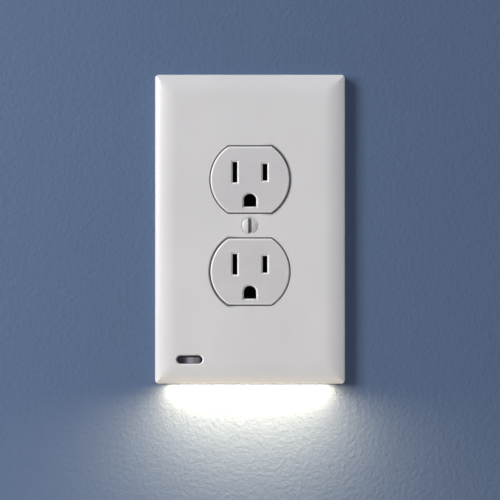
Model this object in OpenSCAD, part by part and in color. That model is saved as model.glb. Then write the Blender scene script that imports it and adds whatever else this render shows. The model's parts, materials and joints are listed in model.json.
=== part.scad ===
// Plug-in night light: an outlet cover plate with a light bar in its lower edge, on a duplex outlet.
// Millimetres. +Z is up and the front faces -Y. The wall's surface is the plane Y = 0.
// The origin is on the axis of the cover screw, in the plane of the wall.
// Depths are measured from the wall towards the room, so a negative depth lies behind the wall.

/* [Cover plate] */
// Width of the cover plate
plate_w = 80.4; // [79:0.2:90]
// Height of the plate above the cover screw
plate_up = 63.9; // [60:0.1:72]
// Height of the plate below the cover screw
plate_down = 66.9; // [66.5:0.1:74]
// Depth of the plate from the wall to its flat front
plate_depth = 7; // [6.8:0.1:8]
// Thickness of the plate's wall
plate_wall = 1.8; // [1.6:0.1:2]
// Width of the curved border round the plate's front
crown_run = 9; // [6:0.5:11]
// Fall of the curved border from the flat front to the rim
crown_drop = 2; // [1:0.1:2.2]
// Radius of the plate's front edge
edge_round = 1; // [0.5:0.1:1.2]
// Radius of the plate's corners, seen from the front
corner_round = 1.8; // [1:0.1:3]
// Thickness of the ribs inside the plate
rib_t = 1.2; // [0.8:0.1:1.4]

/* [Outlet faces] */
// Distance between the centres of the two outlet faces
face_pitch = 38.9; // [38.6:0.1:40]
// Radius of an outlet face's round sides
face_r = 16.75; // [16.4:0.05:17]
// Height of an outlet face between its flats
face_h = 28.1; // [27.6:0.1:28.6]
// Distance that the faces stand out of the plate's front
face_proud = 0.3; // [0:0.05:0.6]
// Gap between a face and the plate's opening
face_gap = 0.45; // [0.2:0.05:0.6]
// Radius of a face's front edge
face_round = 0.8; // [0.3:0.05:0.9]
// Thickness of a face behind its front
face_wall = 2; // [1.6:0.1:2.4]

/* [Sockets] */
// Distance between the two blade slots
blade_pitch = 12.7; // [12.5:0.1:13]
// Height of the blade slots' middle above the face's centre
blade_up = 3.1; // [2.8:0.1:3.4]
// Width of a blade slot
slot_w = 2; // [1.8:0.05:2.2]
// Height of the long slot, on the neutral side
neutral_slot_h = 8.7; // [8.2:0.1:9]
// Height of the short slot, on the hot side
hot_slot_h = 7.1; // [6.8:0.1:7.6]
// Width of the ground hole
ground_w = 5.3; // [5:0.1:5.4]
// Distance from the slots' middle down to the ground pin's axis
ground_down = 11.7; // [11.5:0.1:11.9]
// Distance from the ground pin's axis down to the hole's flat side
ground_flat = 2.85; // [2.6:0.05:2.9]
// Bevel round the slots and ground holes
slot_bevel = 0.7; // [0.2:0.05:0.8]

/* [Outlet body] */
// Width of the outlet's body
body_w = 33.4; // [33:0.1:34]
// Height of the outlet's body
body_h = 71; // [71:0.2:74]
// Depth of the body behind the wall
body_depth = 23; // [20:0.5:28]
// Bevel round the back of the body
body_bevel = 1.6; // [0.5:0.1:2.2]
// Radius of the body's four long edges
body_round = 1.2; // [0.6:0.1:2]
// Thickness of the mounting strap
strap_t = 1.3; // [1:0.1:1.4]
// Length of the mounting strap
strap_l = 103; // [102:0.2:103.4]
// Width of the strap across its plaster ears
ear_w = 32.4; // [30:0.2:34]
// Distance between the two box screw holes
box_pitch = 83.3; // [82.5:0.1:84]
// Radius of a box screw hole
box_hole_r = 2.2; // [1.9:0.05:2.4]
// Radius of a box screw's thread
box_screw_r = 1.75; // [1.6:0.05:1.8]
// Length of a box screw's thread behind the strap
box_screw_l = 24; // [16:1:38]

/* [Terminals] */
// Distance from the outlet's middle up or down to a terminal screw
terminal_up = 9.6; // [9.3:0.1:10.2]
// Depth of the terminal screws' axes behind the wall
terminal_back = 7.5; // [7:0.1:8]
// Radius of a terminal screw's head
terminal_head_r = 4; // [3.4:0.1:4.2]
// Thickness of a terminal screw's head
terminal_head_t = 2.3; // [1.8:0.1:2.6]
// Radius of a terminal screw's shank
terminal_shank_r = 2; // [1.6:0.05:2.1]
// Gap under a terminal screw's head, where the wire goes
terminal_gap = 1; // [0.4:0.1:1.6]
// Thickness of the brass sheet that the contacts are made of
brass_t = 0.8; // [0.6:0.05:0.9]

/* [Contact arms] */
// Height of a contact arm
arm_h = 24; // [20:0.5:25]
// Thickness of a contact arm
arm_t = 3.4; // [3:0.1:4]
// Reach of a contact arm behind the wall
arm_reach = 14.2; // [13:0.1:18]
// Radius of the two corners of an arm's tip, seen from the side
tip_round = 2.6; // [1:0.1:3]
// Thickness of the spring contact on an arm
contact_t = 0.5; // [0.3:0.05:0.6]
// Radius of the barrel that an arm rocks on
barrel_r = 1.75; // [1.5:0.05:1.8]

/* [Light] */
// Length of the light bar
bar_l = 66; // [50:0.5:68]
// Thickness of the light bar
bar_t = 2.2; // [1.8:0.1:2.4]
// Number of light-emitting diodes
led_count = 6; // [3:1:6]
// Distance from the plate's left edge to the middle of the sensor window
sensor_in = 14.7; // [14:0.1:17]
// Distance from the plate's lower edge up to the middle of the sensor window
sensor_up = 10.3; // [9.6:0.1:10.7]
// Width of the sensor window
sensor_w = 10.9; // [8:0.1:12]
// Height of the sensor window
sensor_h = 3.5; // [3:0.1:4]
// Bevel round the sensor window's opening in the plate
window_bevel = 0.5; // [0.15:0.05:0.6]
// Diameter of the light sensor
sensor_d = 4.3; // [3:0.1:4.4]
// Travel of the brightness switch between its two end positions
switch_travel = 4; // [2:0.2:4.4]

/* [Cover screw] */
// Radius of the cover screw's head
screw_head_r = 3.5; // [3.2:0.05:3.8]
// Radius of the cover screw's shank
screw_r = 1.72; // [1.5:0.01:1.75]
// Length of the cover screw's shank under its head
screw_l = 12.7; // [9:0.1:15]
// Width of the screwdriver slot
screw_slot_w = 1.5; // [0.9:0.05:1.6]

/* [Hidden] */
$fn = 48;

// Sides: the hot side is to the right of a person who faces the plate, the neutral side to the left.
hot = 1;
neutral = -1;
sides = [neutral, hot];
ends = [-1, 1];

// Clearances
thread_gap = 0.04;
slip_gap = 0.1;
loose_gap = 0.3;
touch_gap = 0.05;
weld = 0.3; // how far a rib or boss goes into the wall that carries it
over = 1; // how far a cut runs past what it cuts

// Plate
plate_half_w = plate_w / 2;
plate_half_h = (plate_up + plate_down) / 2;
plate_mid_z = (plate_up - plate_down) / 2;
crown_r = (crown_run * crown_run + crown_drop * crown_drop) / (2 * crown_drop);
crown_steps = 10;
edge_steps = 5;
inner_round = 0.4;
rib_lap = 0.2; // how far a rib goes into the plate's side walls
rib_sink = 0.5; // how far the ribs stay inside the plate's outer faces
ring_clear = 2; // room between a short rib's end and the wall
stiff_back = 0.6; // how far the stiffening ribs stand lower than the rings
stiff_up = 5;
stiff_down = 9.4;
screw_boss_wall = 0.7;
inside = plate_depth - plate_wall; // depth of the plate's inner face
opening_r = face_r + face_gap;
opening_half_h = face_h / 2 + face_gap;

// Outlet
face_front = plate_depth + face_proud;
face_back = face_front - face_wall;
face_z = face_pitch / 2;
flange_t = 2;
flange_round = 1;
flange_front = strap_t + flange_t;
tower_wall = 1.2;
tower_r = face_r - tower_wall - slip_gap;
tower_w = 24;
tower_h = 24.2;
tower_front = face_back - slip_gap;
rail_w = 2.1;
strap_mid_w = body_w - 2 * (rail_w + slip_gap);
strap_lap = 0.8; // how far the strap's middle reaches past the body's ends
divide_in = 4;
divide_w = 1.2;
divide_d = 0.5;
gauge_l = 15.9; // bare length of a wire that is pushed in
gauge_w = 1.5;
gauge_d = 0.4;
gauge_up = 6;
guard_t = 1.1; // the guards above and below the terminal screws
guard_out = 1;
window_gap = loose_gap;
tongue_w = 15;
ear_h = 14.4;
ear_round = 3.5;
ear_slit_w = 1.4;
ear_slit_h = 9;
ear_z = (strap_l - ear_h) / 2;
collar_r = 2.9;
collar_back = 1.2;
tapped_r = screw_r + thread_gap;

// Contacts inside the outlet, as distances from a blade's middle plane and depths behind the wall.
clip_back = 12.4;
clip_mouth = 0.3;
clip_pinch = 2.5;
clip_bend = 9;
clip_t = 0.6;
clip_grip = 0.75;
clip_root = 1.3;
clip_flare = 1.5;
clip_short = 0.6; // how much lower a clip is than its slot
trench_half_w = 2.3;
bus_half_w = trench_half_w - loose_gap;
bus_over = 4.2;
tab_out = body_w / 2;
tab_in = tab_out - brass_t;
tab_h = 9.6;
tab_l = 9;
link_l = 4;
link_slot_l = 1.6;
link_slot_h = 4;
branch_h = 4.2;
shank_in = 6.2;
head_in = tab_out + terminal_gap;
head_out = head_in + terminal_head_t;
head_rim = 0.5;
drive_w = 1.2; // width of the slots in the terminal and ground screws
drive_share = 0.6; // length of the short cross slot, against the head
shank_point = 0.5;
shank_lead = 0.6;
ground_half_w = 3.1;
ground_clip_t = 0.6;
ground_grip = 2.15;
ground_clip_h = 4.4;
ground_clip_back = 10;
ground_clip_mouth = 1;
rivet_down = 13.7;
rivet_r = 0.9;
rivet_head_r = 1.4;
rivet_head_t = 0.6;
rivet_head_round = 0.3;
ground_tab_down = 15.1;
ground_tab_w = 5;
body_screw_in = 2.6;
body_screw_x = strap_mid_w / 2 - body_screw_in;
body_screw_r = 1.2;
body_screw_head_r = 2.3;
body_screw_head_t = 1.5;
body_screw_rim = 0.5;
body_screw_point = 0.8;
cross_w = 0.7;
cross_l = 2.6;
cross_d = 0.9;
body_screw_tip = strap_t + 1.4;
box_head_r = 3.9;
box_head_t = 2.2;
box_neck_r = 1.5;
box_head_slot = 1;
box_slot_d = 1.2;
box_rim_t = 0.7;
box_head_side = 0.7;
box_head_fall = 0.3;
box_head_flat = 1.6;
box_point = 0.5;
box_lead = 0.8;
lug_w = 7.2;
lug_gap = 0.6;
lug_z = -(body_h + lug_w) / 2 - lug_gap;
lug_back = 9;
lug_inset = 0.5;
lug_x = -body_w / 2 + lug_inset;
lug_in = -tongue_w / 2 + weld;
ground_screw_back = 4.9;
ground_shank_r = 1.9;
ground_head_r = 4.3;
ground_head_t = 2.4;
ground_hex_r = 4;
ground_washer_t = 0.7;
ground_lift = 0.5;
wire_hole_r = 1.2;
wire_hole_l = 8;
wire_hole_in = 4.6;
wire_hole_up = 13.5;
wire_hole_pitch = 11;
release_in = 3.2;
release_w = 1.6;
release_h = 3.2;
trench_lap = 0.5;

// Bay behind the plate that holds the board, and the two legs that hold the arms and wires
contact_in = head_out + touch_gap;
arm_in = contact_in + touch_gap;
arm_room = 0.5;
cover_back = 0.2;
cover_t = 1;
cover_front = cover_back + cover_t; // the rear cover's inner face, and the ribs' ends
bay_half_w = plate_half_w - plate_wall - rib_t;
bay_floor = -plate_down + plate_wall;
bay_top = -strap_l / 2 - loose_gap - rib_t - rib_lap;
bay_h = bay_top - bay_floor;
leg_in = arm_in - arm_room;
leg_margin = 7.4;
leg_out = plate_half_w - leg_margin;
leg_over = 4.6;
leg_top = arm_h / 2 + leg_over;
stiff_x = (2 * leg_in + leg_out) / 3;
panel_gap = 0.15;
thumb_margin = 1.5;
thumb_d = 0.4;

// Board
board_back = 1.4;
board_t = 1;
board_front = board_back + board_t;
board_half_w = bay_half_w - slip_gap;
board_clear = 0.9; // room between the board's long edges and the bay
board_low = bay_floor + board_clear;
board_high = bay_top - board_clear;
post_r = 1;
post_seat_r = 1.7;
post_head_r = 1.8;
post_head_t = 0.5;
post_in = 2.1;
post_down = 3.4;
post_x = board_half_w - post_in;
post_z = bay_top - post_down;
leg_post_x = leg_out - post_in;
leg_post_down = 2.6;
leg_post_below = 6;
leg_post_up = 9.2;
leg_post_zs = [leg_top - leg_post_down, -arm_h / 2 - leg_post_below, bay_top + leg_post_up];
board_round = 0.8;
led_w = 3.8;
led_h = 1.6;
led_t = 1;
led_pitch = 11;
led_lip = 0.2; // wall of a diode's package round its phosphor
led_cup = 0.8;
phosphor_t = 0.4;
part_down = 3.9;
part_z = board_high - part_down; // middle height of the parts on the board

// Parts in a row on the board: width, height, and how far each stands off the board
driver_w = 4.9;
driver_t = 1.5;
driver_legs = 4;
bridge_w = 4.7;
bridge_t = 2.2;
bridge_legs = 2;
chip_h = 3.9;
chip_stand = 0.15;
chip_margin = 0.45;
leg_strip_w = 0.45;
foot_l = 0.9;
fuse_w = 6;
fuse_h = 2.6;
fuse_t = 2;
capacitor_w = 2.4;
capacitor_h = 3.2;
capacitor_t = 1.6;
resistor_w = 1.5;
resistor_h = 3.1;
resistor_t = 0.6;
row_w = [capacitor_w, capacitor_w, driver_w, resistor_w, bridge_w, resistor_w, fuse_w, resistor_w];

// Light bar
bar_back = cover_front + slip_gap;
bar_front = bar_back + bar_t;
bar_recess = 0.25;
bar_lip = 0.8;
bar_lip_t = 0.7;

// Sensor
sensor_x = -plate_half_w + sensor_in;
sensor_z = -plate_down + sensor_up;
lens_recess = 0.25;
lens_flange = 1.2;
lens_flange_t = 0.7;
lens_gap = 0.1;
sensor_body_t = 1.8;
sensor_round = 0.5;

// Switch
switch_w = 8.8;
switch_clear = 2.95;
switch_x = sensor_x + (sensor_w + switch_w) / 2 + lens_flange + switch_clear;
switch_h = 3.8;
switch_t = 2.1;
switch_skin = 0.35;
knob_w = 2.1;
knob_h = 1.7;
knob_base_w = switch_w - 2 * switch_skin - switch_travel - 2 * slip_gap;
knob_base_t = 0.7;
knob_recess = 0.35;
knob_rest_x = switch_x - switch_travel / 2;

// The row of parts runs with equal gaps from the switch to the post at the board's right end.
row_from = switch_x + switch_w / 2;
row_gap = (post_x - post_seat_r - row_from - widths_before(len(row_w))) / (len(row_w) + 1);

// Arms
arm_body_in = contact_in + contact_t;
pivot_x = arm_body_in + barrel_r;
pivot_depth = (inside + cover_front) / 2;
contact_margin = 1.3;
contact_h = arm_h - 2 * contact_margin;
tip_bend = 2.3;
tip_flare = 1.2;
tip_ease = 0.2;
tip_flat = 0.8;
tip_bevel = 0.7;
tip_taper = 1.2;
stub_r = 0.9;
stub_l = 1.3;
saddle_t = 1.2;
saddle_near = 1.45;
saddle_far = 2.6;
saddle_in = pivot_x - saddle_near;
saddle_out = pivot_x + saddle_far;
heel_w = 2.4;
heel_back = 0.6;
groove_w = 1.6;
groove_d = 0.5;
tail_drop = 4;
tail_back = 1.9;
tail_front = 4.6;

// Cover screw
screw_sink = 0.1; // how far the head's rim lies below the plate's front
screw_dome = 0.75;
screw_rim = plate_depth - screw_sink;
screw_under = screw_rim - screw_head_r + screw_r;
screw_slot_d = 1.3;
screw_tip = 0.8;

// Wires
wire_r = 0.9;
core_r = 0.45;
wire_depth = 3.3;
wire_bend = 1.6;
wire_bend_steps = 4;
wire_facets = 12;
wire_run_low = 9;
wire_end_up = 1.2;
wire_bare = 0.8; // bare core between the tail and the insulation, sideways
wire_clear = 0.2;
wire_top_x = contact_in + contact_t + wire_bare + wire_r;
wire_run_x = (leg_in + leg_post_x - post_seat_r) / 2;
pad_in = 5.5;
pad_down = 1.4;
pad_x = post_x - pad_in;
pad_z = board_high - pad_down;
tail_hole_r = core_r + loose_gap;
tail_hole_z = -arm_h / 2 - saddle_t - tail_drop / 2;

// ---------------------------------------------------------------- helpers

// Carries a flat shape, drawn as seen from the front, from one depth to another.
module slab(from, to) {
  translate([0, -from, 0]) rotate([90, 0, 0]) linear_extrude(to - from) children();
}

// A round bar along the depth, at x and z.
module round_bar(x, z, r, from, to) {
  slab(from, to) translate([x, z]) circle(r);
}

// A cone along the depth, with its own radius at each end.
module cone_bar(r_from, r_to, from, to) {
  translate([0, -from, 0]) rotate([90, 0, 0]) cylinder(r1 = r_from, r2 = r_to, h = to - from);
}

// A turned shape about the depth axis, from [radius, depth] points.
module turned(points) {
  rotate([90, 0, 0]) rotate_extrude() polygon(points);
}

// A box from its middle in x and z, its sizes, and two depths.
module block(x, z, w, h, from, to) {
  slab(from, to) translate([x, z]) square([w, h], center = true);
}

// A shape with its outline in x and depth, of height h about z.
module cross_section(z, h) {
  translate([0, 0, z - h / 2]) linear_extrude(h) mirror([0, 1]) children();
}

module rounded_square(w, h, r) {
  square([w, h - 2 * r], center = true);
  square([w - 2 * r, h], center = true);
  for (sx = ends, sz = ends) translate([sx * (w / 2 - r), sz * (h / 2 - r)]) circle(r);
}

module pill(w, h) {
  square([w - h, h], center = true);
  for (sx = ends) translate([sx * (w - h) / 2, 0]) circle(h / 2);
}

// A pill-shaped hole whose mouth is bevelled where it meets the front.
module bevelled_pill(w, h, bevel, from, front) {
  flare_r = h / 2 + bevel + over;
  slab(from, front + over) pill(w, h);
  for (sx = ends) translate([sx * (w - h) / 2, 0, 0])
    cone_bar(h / 2, flare_r, front - bevel, front + over);
  translate([-(w - h) / 2, 0, 0]) rotate([0, 90, 0]) linear_extrude(w - h) mirror([0, 1]) polygon([
    [h / 2, front - bevel], [flare_r, front + over], [-flare_r, front + over], [-h / 2, front - bevel]
  ]);
}

// The outline of an outlet face: a circle with a flat at the top and one at the bottom.
module duplex_outline(r, half_h) {
  intersection() {
    circle(r);
    square([2 * (r + over), 2 * half_h], center = true);
  }
}

module at_faces() {
  for (end = ends) translate([0, end * face_z]) children();
}

function arc(centre, r, from, to, steps, first = 0) =
  [for (i = [first:steps]) let (a = from + (to - from) * i / steps) centre + r * [cos(a), sin(a)]];

function widths_before(i) = i == 0 ? 0 : row_w[i - 1] + widths_before(i - 1);

// The middle of a part in the row.
function part_x(i) = row_from + (i + 1) * row_gap + widths_before(i) + row_w[i] / 2;

function mirrored(points) =
  concat(points, [for (i = [len(points) - 1:-1:0]) [-points[i][0], points[i][1]]]);

// One side of the crowned profile, from the flat front round to the rim: [distance from the middle, depth].
function crown_side(half, grow, edge_r) =
  let (big = crown_r + grow)
  let (centre = [half - crown_run, plate_depth - crown_r])
  let (reach = half + grow - edge_r - centre[0])
  let (edge = [half + grow - edge_r, centre[1] + sqrt(pow(big - edge_r, 2) - reach * reach)])
  let (turn = atan2(edge[1] - centre[1], edge[0] - centre[0]))
  concat(arc(centre, big, 90, turn, crown_steps), arc(edge, edge_r, turn, 0, edge_steps, 1));

function crown_profile(half, grow, edge_r, base) =
  mirrored(concat(crown_side(half, grow, edge_r), [[half + grow, base]]));

// The plate's crowned block. A negative grow gives the hollow inside it.
module crowned_block(grow, edge_r, plan_r, base) {
  intersection() {
    translate([0, 0, plate_mid_z - plate_half_h - over])
      linear_extrude(2 * (plate_half_h + over))
        mirror([0, 1]) polygon(crown_profile(plate_half_w, grow, edge_r, base));
    translate([-plate_half_w - over, 0, plate_mid_z])
      rotate([0, 90, 0]) linear_extrude(2 * (plate_half_w + over))
        mirror([0, 1]) polygon(crown_profile(plate_half_h, grow, edge_r, base));
    slab(base - over, plate_depth + over) translate([0, plate_mid_z])
      rounded_square(2 * (plate_half_w + grow), 2 * (plate_half_h + grow), plan_r);
  }
}

// ---------------------------------------------------------------- outlet

slot_hs = [neutral_slot_h, hot_slot_h];

module socket_holes_2d() {
  for (i = [0, 1])
    translate([sides[i] * blade_pitch / 2, blade_up]) square([slot_w, slot_hs[i]], center = true);
  translate([0, blade_up - ground_down]) ground_hole_2d(ground_w / 2, ground_flat);
}

// A flared mouth: [half width, depth] points from the bevel's inner edge out past the face.
function flare(from, to) = [
  [from, face_front - slot_bevel], [from + slot_bevel + over, face_front + over],
  [-to - slot_bevel - over, face_front + over], [-to, face_front - slot_bevel]
];

// Bevelled mouth of a slot or of a ground hole's square part, from its reach right, left, up and down.
module flared_mouth(right, left, up, down) {
  intersection() {
    cross_section(0, 4 * face_r) polygon(flare(right, left));
    translate([-2 * face_r, 0, 0]) rotate([0, 90, 0]) linear_extrude(4 * face_r)
      mirror([0, 1]) polygon(flare(down, up));
  }
}

module socket_bevels() {
  for (i = [0, 1]) translate([sides[i] * blade_pitch / 2, 0, blade_up])
    flared_mouth(slot_w / 2, slot_w / 2, slot_hs[i] / 2, slot_hs[i] / 2);
  translate([0, 0, blade_up - ground_down]) {
    r = ground_w / 2;
    cone_bar(r, r + slot_bevel + over, face_front - slot_bevel, face_front + over);
    intersection() {
      flared_mouth(r, r, r, ground_flat);
      block(0, -face_r, 2 * face_r, 2 * face_r, face_front - slot_bevel - over, face_front + over);
    }
  }
}

module ground_hole_2d(r, flat) {
  circle(r);
  translate([-r, -flat]) square([2 * r, flat]);
}

module tower_outline(grow) {
  intersection() {
    circle(tower_r + grow);
    square([tower_w + 2 * grow, tower_h + 2 * grow], center = true);
  }
}

// One raised face, turned for its round sides and cut by its flats, with a rounded front edge.
module raised_face() {
  half_h = face_h / 2;
  base = flange_front - weld;
  round_side = concat(
    [[0, base], [face_r, base]],
    arc([face_r - face_round, face_front - face_round], face_round, 0, 90, edge_steps),
    [[0, face_front]]);
  flat_side = mirrored(concat(
    arc([half_h - face_round, face_front - face_round], face_round, 90, 0, edge_steps),
    [[half_h, base]]));
  intersection() {
    turned(round_side);
    translate([-face_r - over, 0, 0]) rotate([0, 90, 0]) linear_extrude(2 * (face_r + over))
      mirror([0, 1]) polygon(flat_side);
  }
}

module outlet_face() {
  color("white") difference() {
    union() {
      slab(strap_t, flange_front) rounded_square(body_w, body_h, flange_round);
      for (end = ends) translate([0, 0, end * face_z]) raised_face();
    }
    slab(strap_t - over, face_back) at_faces() tower_outline(slip_gap);
    slab(face_back - over, face_front + over) at_faces() socket_holes_2d();
    for (end = ends) translate([0, 0, end * face_z]) socket_bevels();
    round_bar(0, 0, collar_r, strap_t - over, flange_front + over);
    for (end = ends) {
      round_bar(0, end * face_z - rivet_down, rivet_head_r + loose_gap, strap_t - over,
        strap_t + rivet_head_t + slip_gap);
      round_bar(end * body_screw_x, 0, body_screw_r + thread_gap, strap_t - over,
        body_screw_tip + slip_gap);
    }
  }
}

// The body's outer block: a bevel runs round its back.
module body_block() {
  half_w = body_w / 2;
  half_h = body_h / 2;
  function bevelled(half) = mirrored([
    [half, 0], [half, -body_depth + body_bevel], [half - body_bevel, -body_depth]
  ]);
  intersection() {
    cross_section(0, body_h) polygon(bevelled(half_w));
    translate([-half_w, 0, 0]) rotate([0, 90, 0]) linear_extrude(body_w)
      mirror([0, 1]) polygon(bevelled(half_h));
    slab(-body_depth - over, over) rounded_square(body_w, body_h, body_round);
  }
}

// A rail along each side of the body, on which the white front sits.
module body_rails() {
  intersection() {
    for (side = sides)
      block(side * (body_w - rail_w) / 2, 0, rail_w, body_h, -weld, strap_t);
    slab(-over, strap_t + over) rounded_square(body_w, body_h, body_round);
  }
}

// Guards that keep a bare wire's end from straying above or below the terminal screws.
module terminal_guards() {
  guard_z = terminal_up + tab_h / 2 + loose_gap + guard_t / 2;
  for (side = sides, end = ends)
    block(side * (body_w / 2 + (guard_out - weld) / 2), end * guard_z, guard_out + weld, guard_t,
      -clip_back, -terminal_back + tab_l / 2);
}

module outlet_body() {
  color([0.16, 0.16, 0.17]) difference() {
    union() {
      body_block();
      slab(-weld, tower_front) at_faces() tower_outline(0);
      body_rails();
      terminal_guards();
    }
    for (side = sides) side_cuts(side);
    for (end = ends) ground_cut(end * face_z);
    round_bar(0, 0, collar_r + loose_gap, -collar_back - loose_gap, over);
    round_bar(0, 0, screw_r + loose_gap, -screw_l, over);
    for (end = ends) {
      round_bar(end * body_screw_x, 0, body_screw_r + slip_gap, -body_depth - over, over);
      round_bar(end * body_screw_x, 0, body_screw_head_r + slip_gap, -body_depth - over,
        -body_depth + body_screw_head_t);
    }
    // a shallow recess that divides the two outlets on the back
    block(0, 0, body_w - 2 * divide_in, divide_w, -body_depth - over, -body_depth + divide_d);
    // the gauge for how much of a wire to strip
    slab(-body_depth - over, -body_depth + gauge_d) translate([0, gauge_up]) pill(gauge_l, gauge_w);
  }

  // what is cut on one side: the blade trench, the branch, the terminal recess and the wire holes
  module side_cuts(side) {
    low = -face_z + blade_up - bus_over - loose_gap;
    high = face_z + blade_up + bus_over + loose_gap;
    trench_x = side * blade_pitch / 2;
    block(trench_x, (low + high) / 2, 2 * trench_half_w, high - low,
      -clip_back - brass_t - slip_gap, tower_front + over);
    branch_in = blade_pitch / 2 + trench_half_w - trench_lap;
    branch_l = tab_in - branch_in;
    block(side * (branch_in + branch_l / 2), terminal_up, branch_l, branch_h + 2 * slip_gap,
      -clip_back - brass_t - slip_gap, over);
    recess_l = tab_out - tab_in + slip_gap + over;
    recess_back = clip_back + brass_t + slip_gap;
    recess_front = terminal_back - tab_l / 2 - slip_gap;
    block(side * (tab_in - slip_gap + recess_l / 2), 0, recess_l,
      2 * terminal_up + tab_h + 2 * slip_gap, -recess_back, -recess_front);
    for (end = ends) {
      translate([side * (tab_out - shank_in - over), terminal_back, end * terminal_up])
        rotate([0, side * 90, 0]) cylinder(r = terminal_shank_r + slip_gap, h = shank_in + 2 * over);
      for (row = [0, 1]) {
        hole_x = side * (body_w / 2 - wire_hole_in);
        hole_z = end * (wire_hole_up + row * wire_hole_pitch);
        round_bar(hole_x, hole_z, wire_hole_r, -body_depth - over, -body_depth + wire_hole_l);
        block(hole_x - side * release_in, hole_z, release_w, release_h, -body_depth - over,
          -body_depth + wire_hole_l);
      }
    }
  }

  module ground_cut(z) {
    pin_z = z + blade_up - ground_down;
    top = pin_z + ground_w / 2 + slip_gap;
    low = z - ground_tab_down - loose_gap;
    tower_low = z - tower_h / 2 + trench_lap;
    block(0, (top + low) / 2, 2 * ground_half_w, top - low, -ground_clip_back - slip_gap, over);
    block(0, (top + tower_low) / 2, 2 * ground_half_w, top - tower_low, -over, tower_front + over);
  }
}

// One end of the strap: a tongue with the box screw hole and two plaster ears that snap off.
module strap_end_2d() {
  ear_low = ear_z - ear_h / 2;
  difference() {
    union() {
      translate([0, ear_z]) rounded_square(ear_w, ear_h, ear_round);
      translate([-tongue_w / 2, 0]) square([tongue_w, ear_z]);
    }
    for (side = sides)
      translate([side * (tongue_w + ear_slit_w) / 2, ear_low + (ear_slit_h - over) / 2])
        square([ear_slit_w, ear_slit_h + over], center = true);
    translate([0, box_pitch / 2]) circle(box_hole_r);
  }
}

module mounting_strap() {
  color("silver") difference() {
    union() {
      slab(0, strap_t) {
        square([strap_mid_w, body_h + 2 * strap_lap], center = true);
        strap_end_2d();
        mirror([0, 1]) strap_end_2d();
      }
      round_bar(0, 0, collar_r, -collar_back, weld);
      // the lug for the ground screw, bent back from the strap's edge
      block(lug_x + strap_t / 2, lug_z, strap_t, lug_w, -lug_back, strap_t);
      block((lug_x + lug_in) / 2, lug_z, lug_in - lug_x, lug_w, 0, strap_t);
    }
    slab(-over, strap_t + over) at_faces() tower_outline(window_gap);
    round_bar(0, 0, tapped_r, -collar_back - over, strap_t + over);
    for (end = ends) {
      round_bar(end * body_screw_x, 0, body_screw_r + slip_gap, -over, strap_t + over);
      round_bar(0, end * face_z - rivet_down, rivet_r, -over, strap_t + over);
    }
    translate([lug_x - over, ground_screw_back, lug_z]) rotate([0, 90, 0])
      cylinder(r = ground_shank_r + thread_gap, h = strap_t + 2 * over);
  }
}

// The two leaves of a blade clip, pinched where they grip and flared at the mouth.
module blade_clip_2d() {
  leaf = [
    [clip_root, -clip_back], [clip_root, -clip_bend], [clip_grip, -clip_pinch], [clip_flare, -clip_mouth],
    [clip_flare + clip_t, -clip_mouth], [clip_grip + clip_t, -clip_pinch],
    [clip_root + clip_t, -clip_bend],
    [clip_root + clip_t, -clip_back]
  ];
  for (s = ends) polygon([for (p = leaf) [s * p[0], p[1]]]);
}

module bus(side, clip_h) {
  low = -face_z + blade_up - bus_over;
  high = face_z + blade_up + bus_over;
  blade_x = side * blade_pitch / 2;
  back = clip_back + brass_t;
  difference() {
    union() {
      for (end = ends)
        translate([blade_x, 0, 0]) cross_section(end * face_z + blade_up, clip_h) blade_clip_2d();
      block(blade_x, (low + high) / 2, 2 * bus_half_w, high - low, -back, -clip_back);
      branch_in = blade_pitch / 2;
      block(side * (branch_in + tab_out) / 2, terminal_up, tab_out - branch_in, branch_h, -back,
        -clip_back);
      // side plate: two screw tabs joined by a link that snaps out
      tab_x = side * (tab_in + brass_t / 2);
      front = terminal_back - tab_l / 2;
      for (end = ends)
        block(tab_x, end * terminal_up, brass_t, tab_h, -front - tab_l, -front);
      block(tab_x, 0, brass_t, 2 * terminal_up, -terminal_back - link_l / 2, -terminal_back + link_l / 2);
      block(tab_x, terminal_up, brass_t, branch_h, -back, -terminal_back);
    }
    translate([side * (tab_in - over), terminal_back, 0]) rotate([0, side * 90, 0])
      for (end = ends) translate([-side * end * terminal_up, 0, 0])
        cylinder(r = terminal_shank_r + thread_gap, h = brass_t + 2 * over);
    block(side * tab_out, 0, 2 * (brass_t + over), link_slot_h, -terminal_back - link_slot_l / 2,
      -terminal_back + link_slot_l / 2);
  }
}

module hot_bus() {
  color("goldenrod") bus(hot, hot_slot_h - clip_short);
}

module neutral_bus() {
  color("gainsboro") bus(neutral, neutral_slot_h - clip_short);
}

// A ground clip: two leaves on a base, and a foot riveted behind the strap.
module ground_clip() {
  pin_z = blade_up - ground_down;
  low = pin_z - ground_clip_h / 2;
  wall_z = low - ground_clip_t / 2;
  leaf_x = ground_grip + ground_clip_t / 2;
  w = 2 * (ground_grip + ground_clip_t);
  for (side = sides)
    block(side * leaf_x, pin_z, ground_clip_t, ground_clip_h, -ground_clip_back, -ground_clip_mouth);
  block(0, pin_z, w, ground_clip_h, -ground_clip_back, -ground_clip_back + ground_clip_t);
  block(0, wall_z, w, ground_clip_t, -ground_clip_back, 0);
  foot_h = wall_z + ground_tab_down;
  difference() {
    block(0, wall_z - foot_h / 2, ground_tab_w, foot_h, -ground_clip_t, 0);
    round_bar(0, -rivet_down, rivet_r, -ground_clip_t - over, over);
  }
}

module ground_clips() {
  color("gold") for (end = ends) translate([0, 0, end * face_z]) ground_clip();
}

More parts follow.
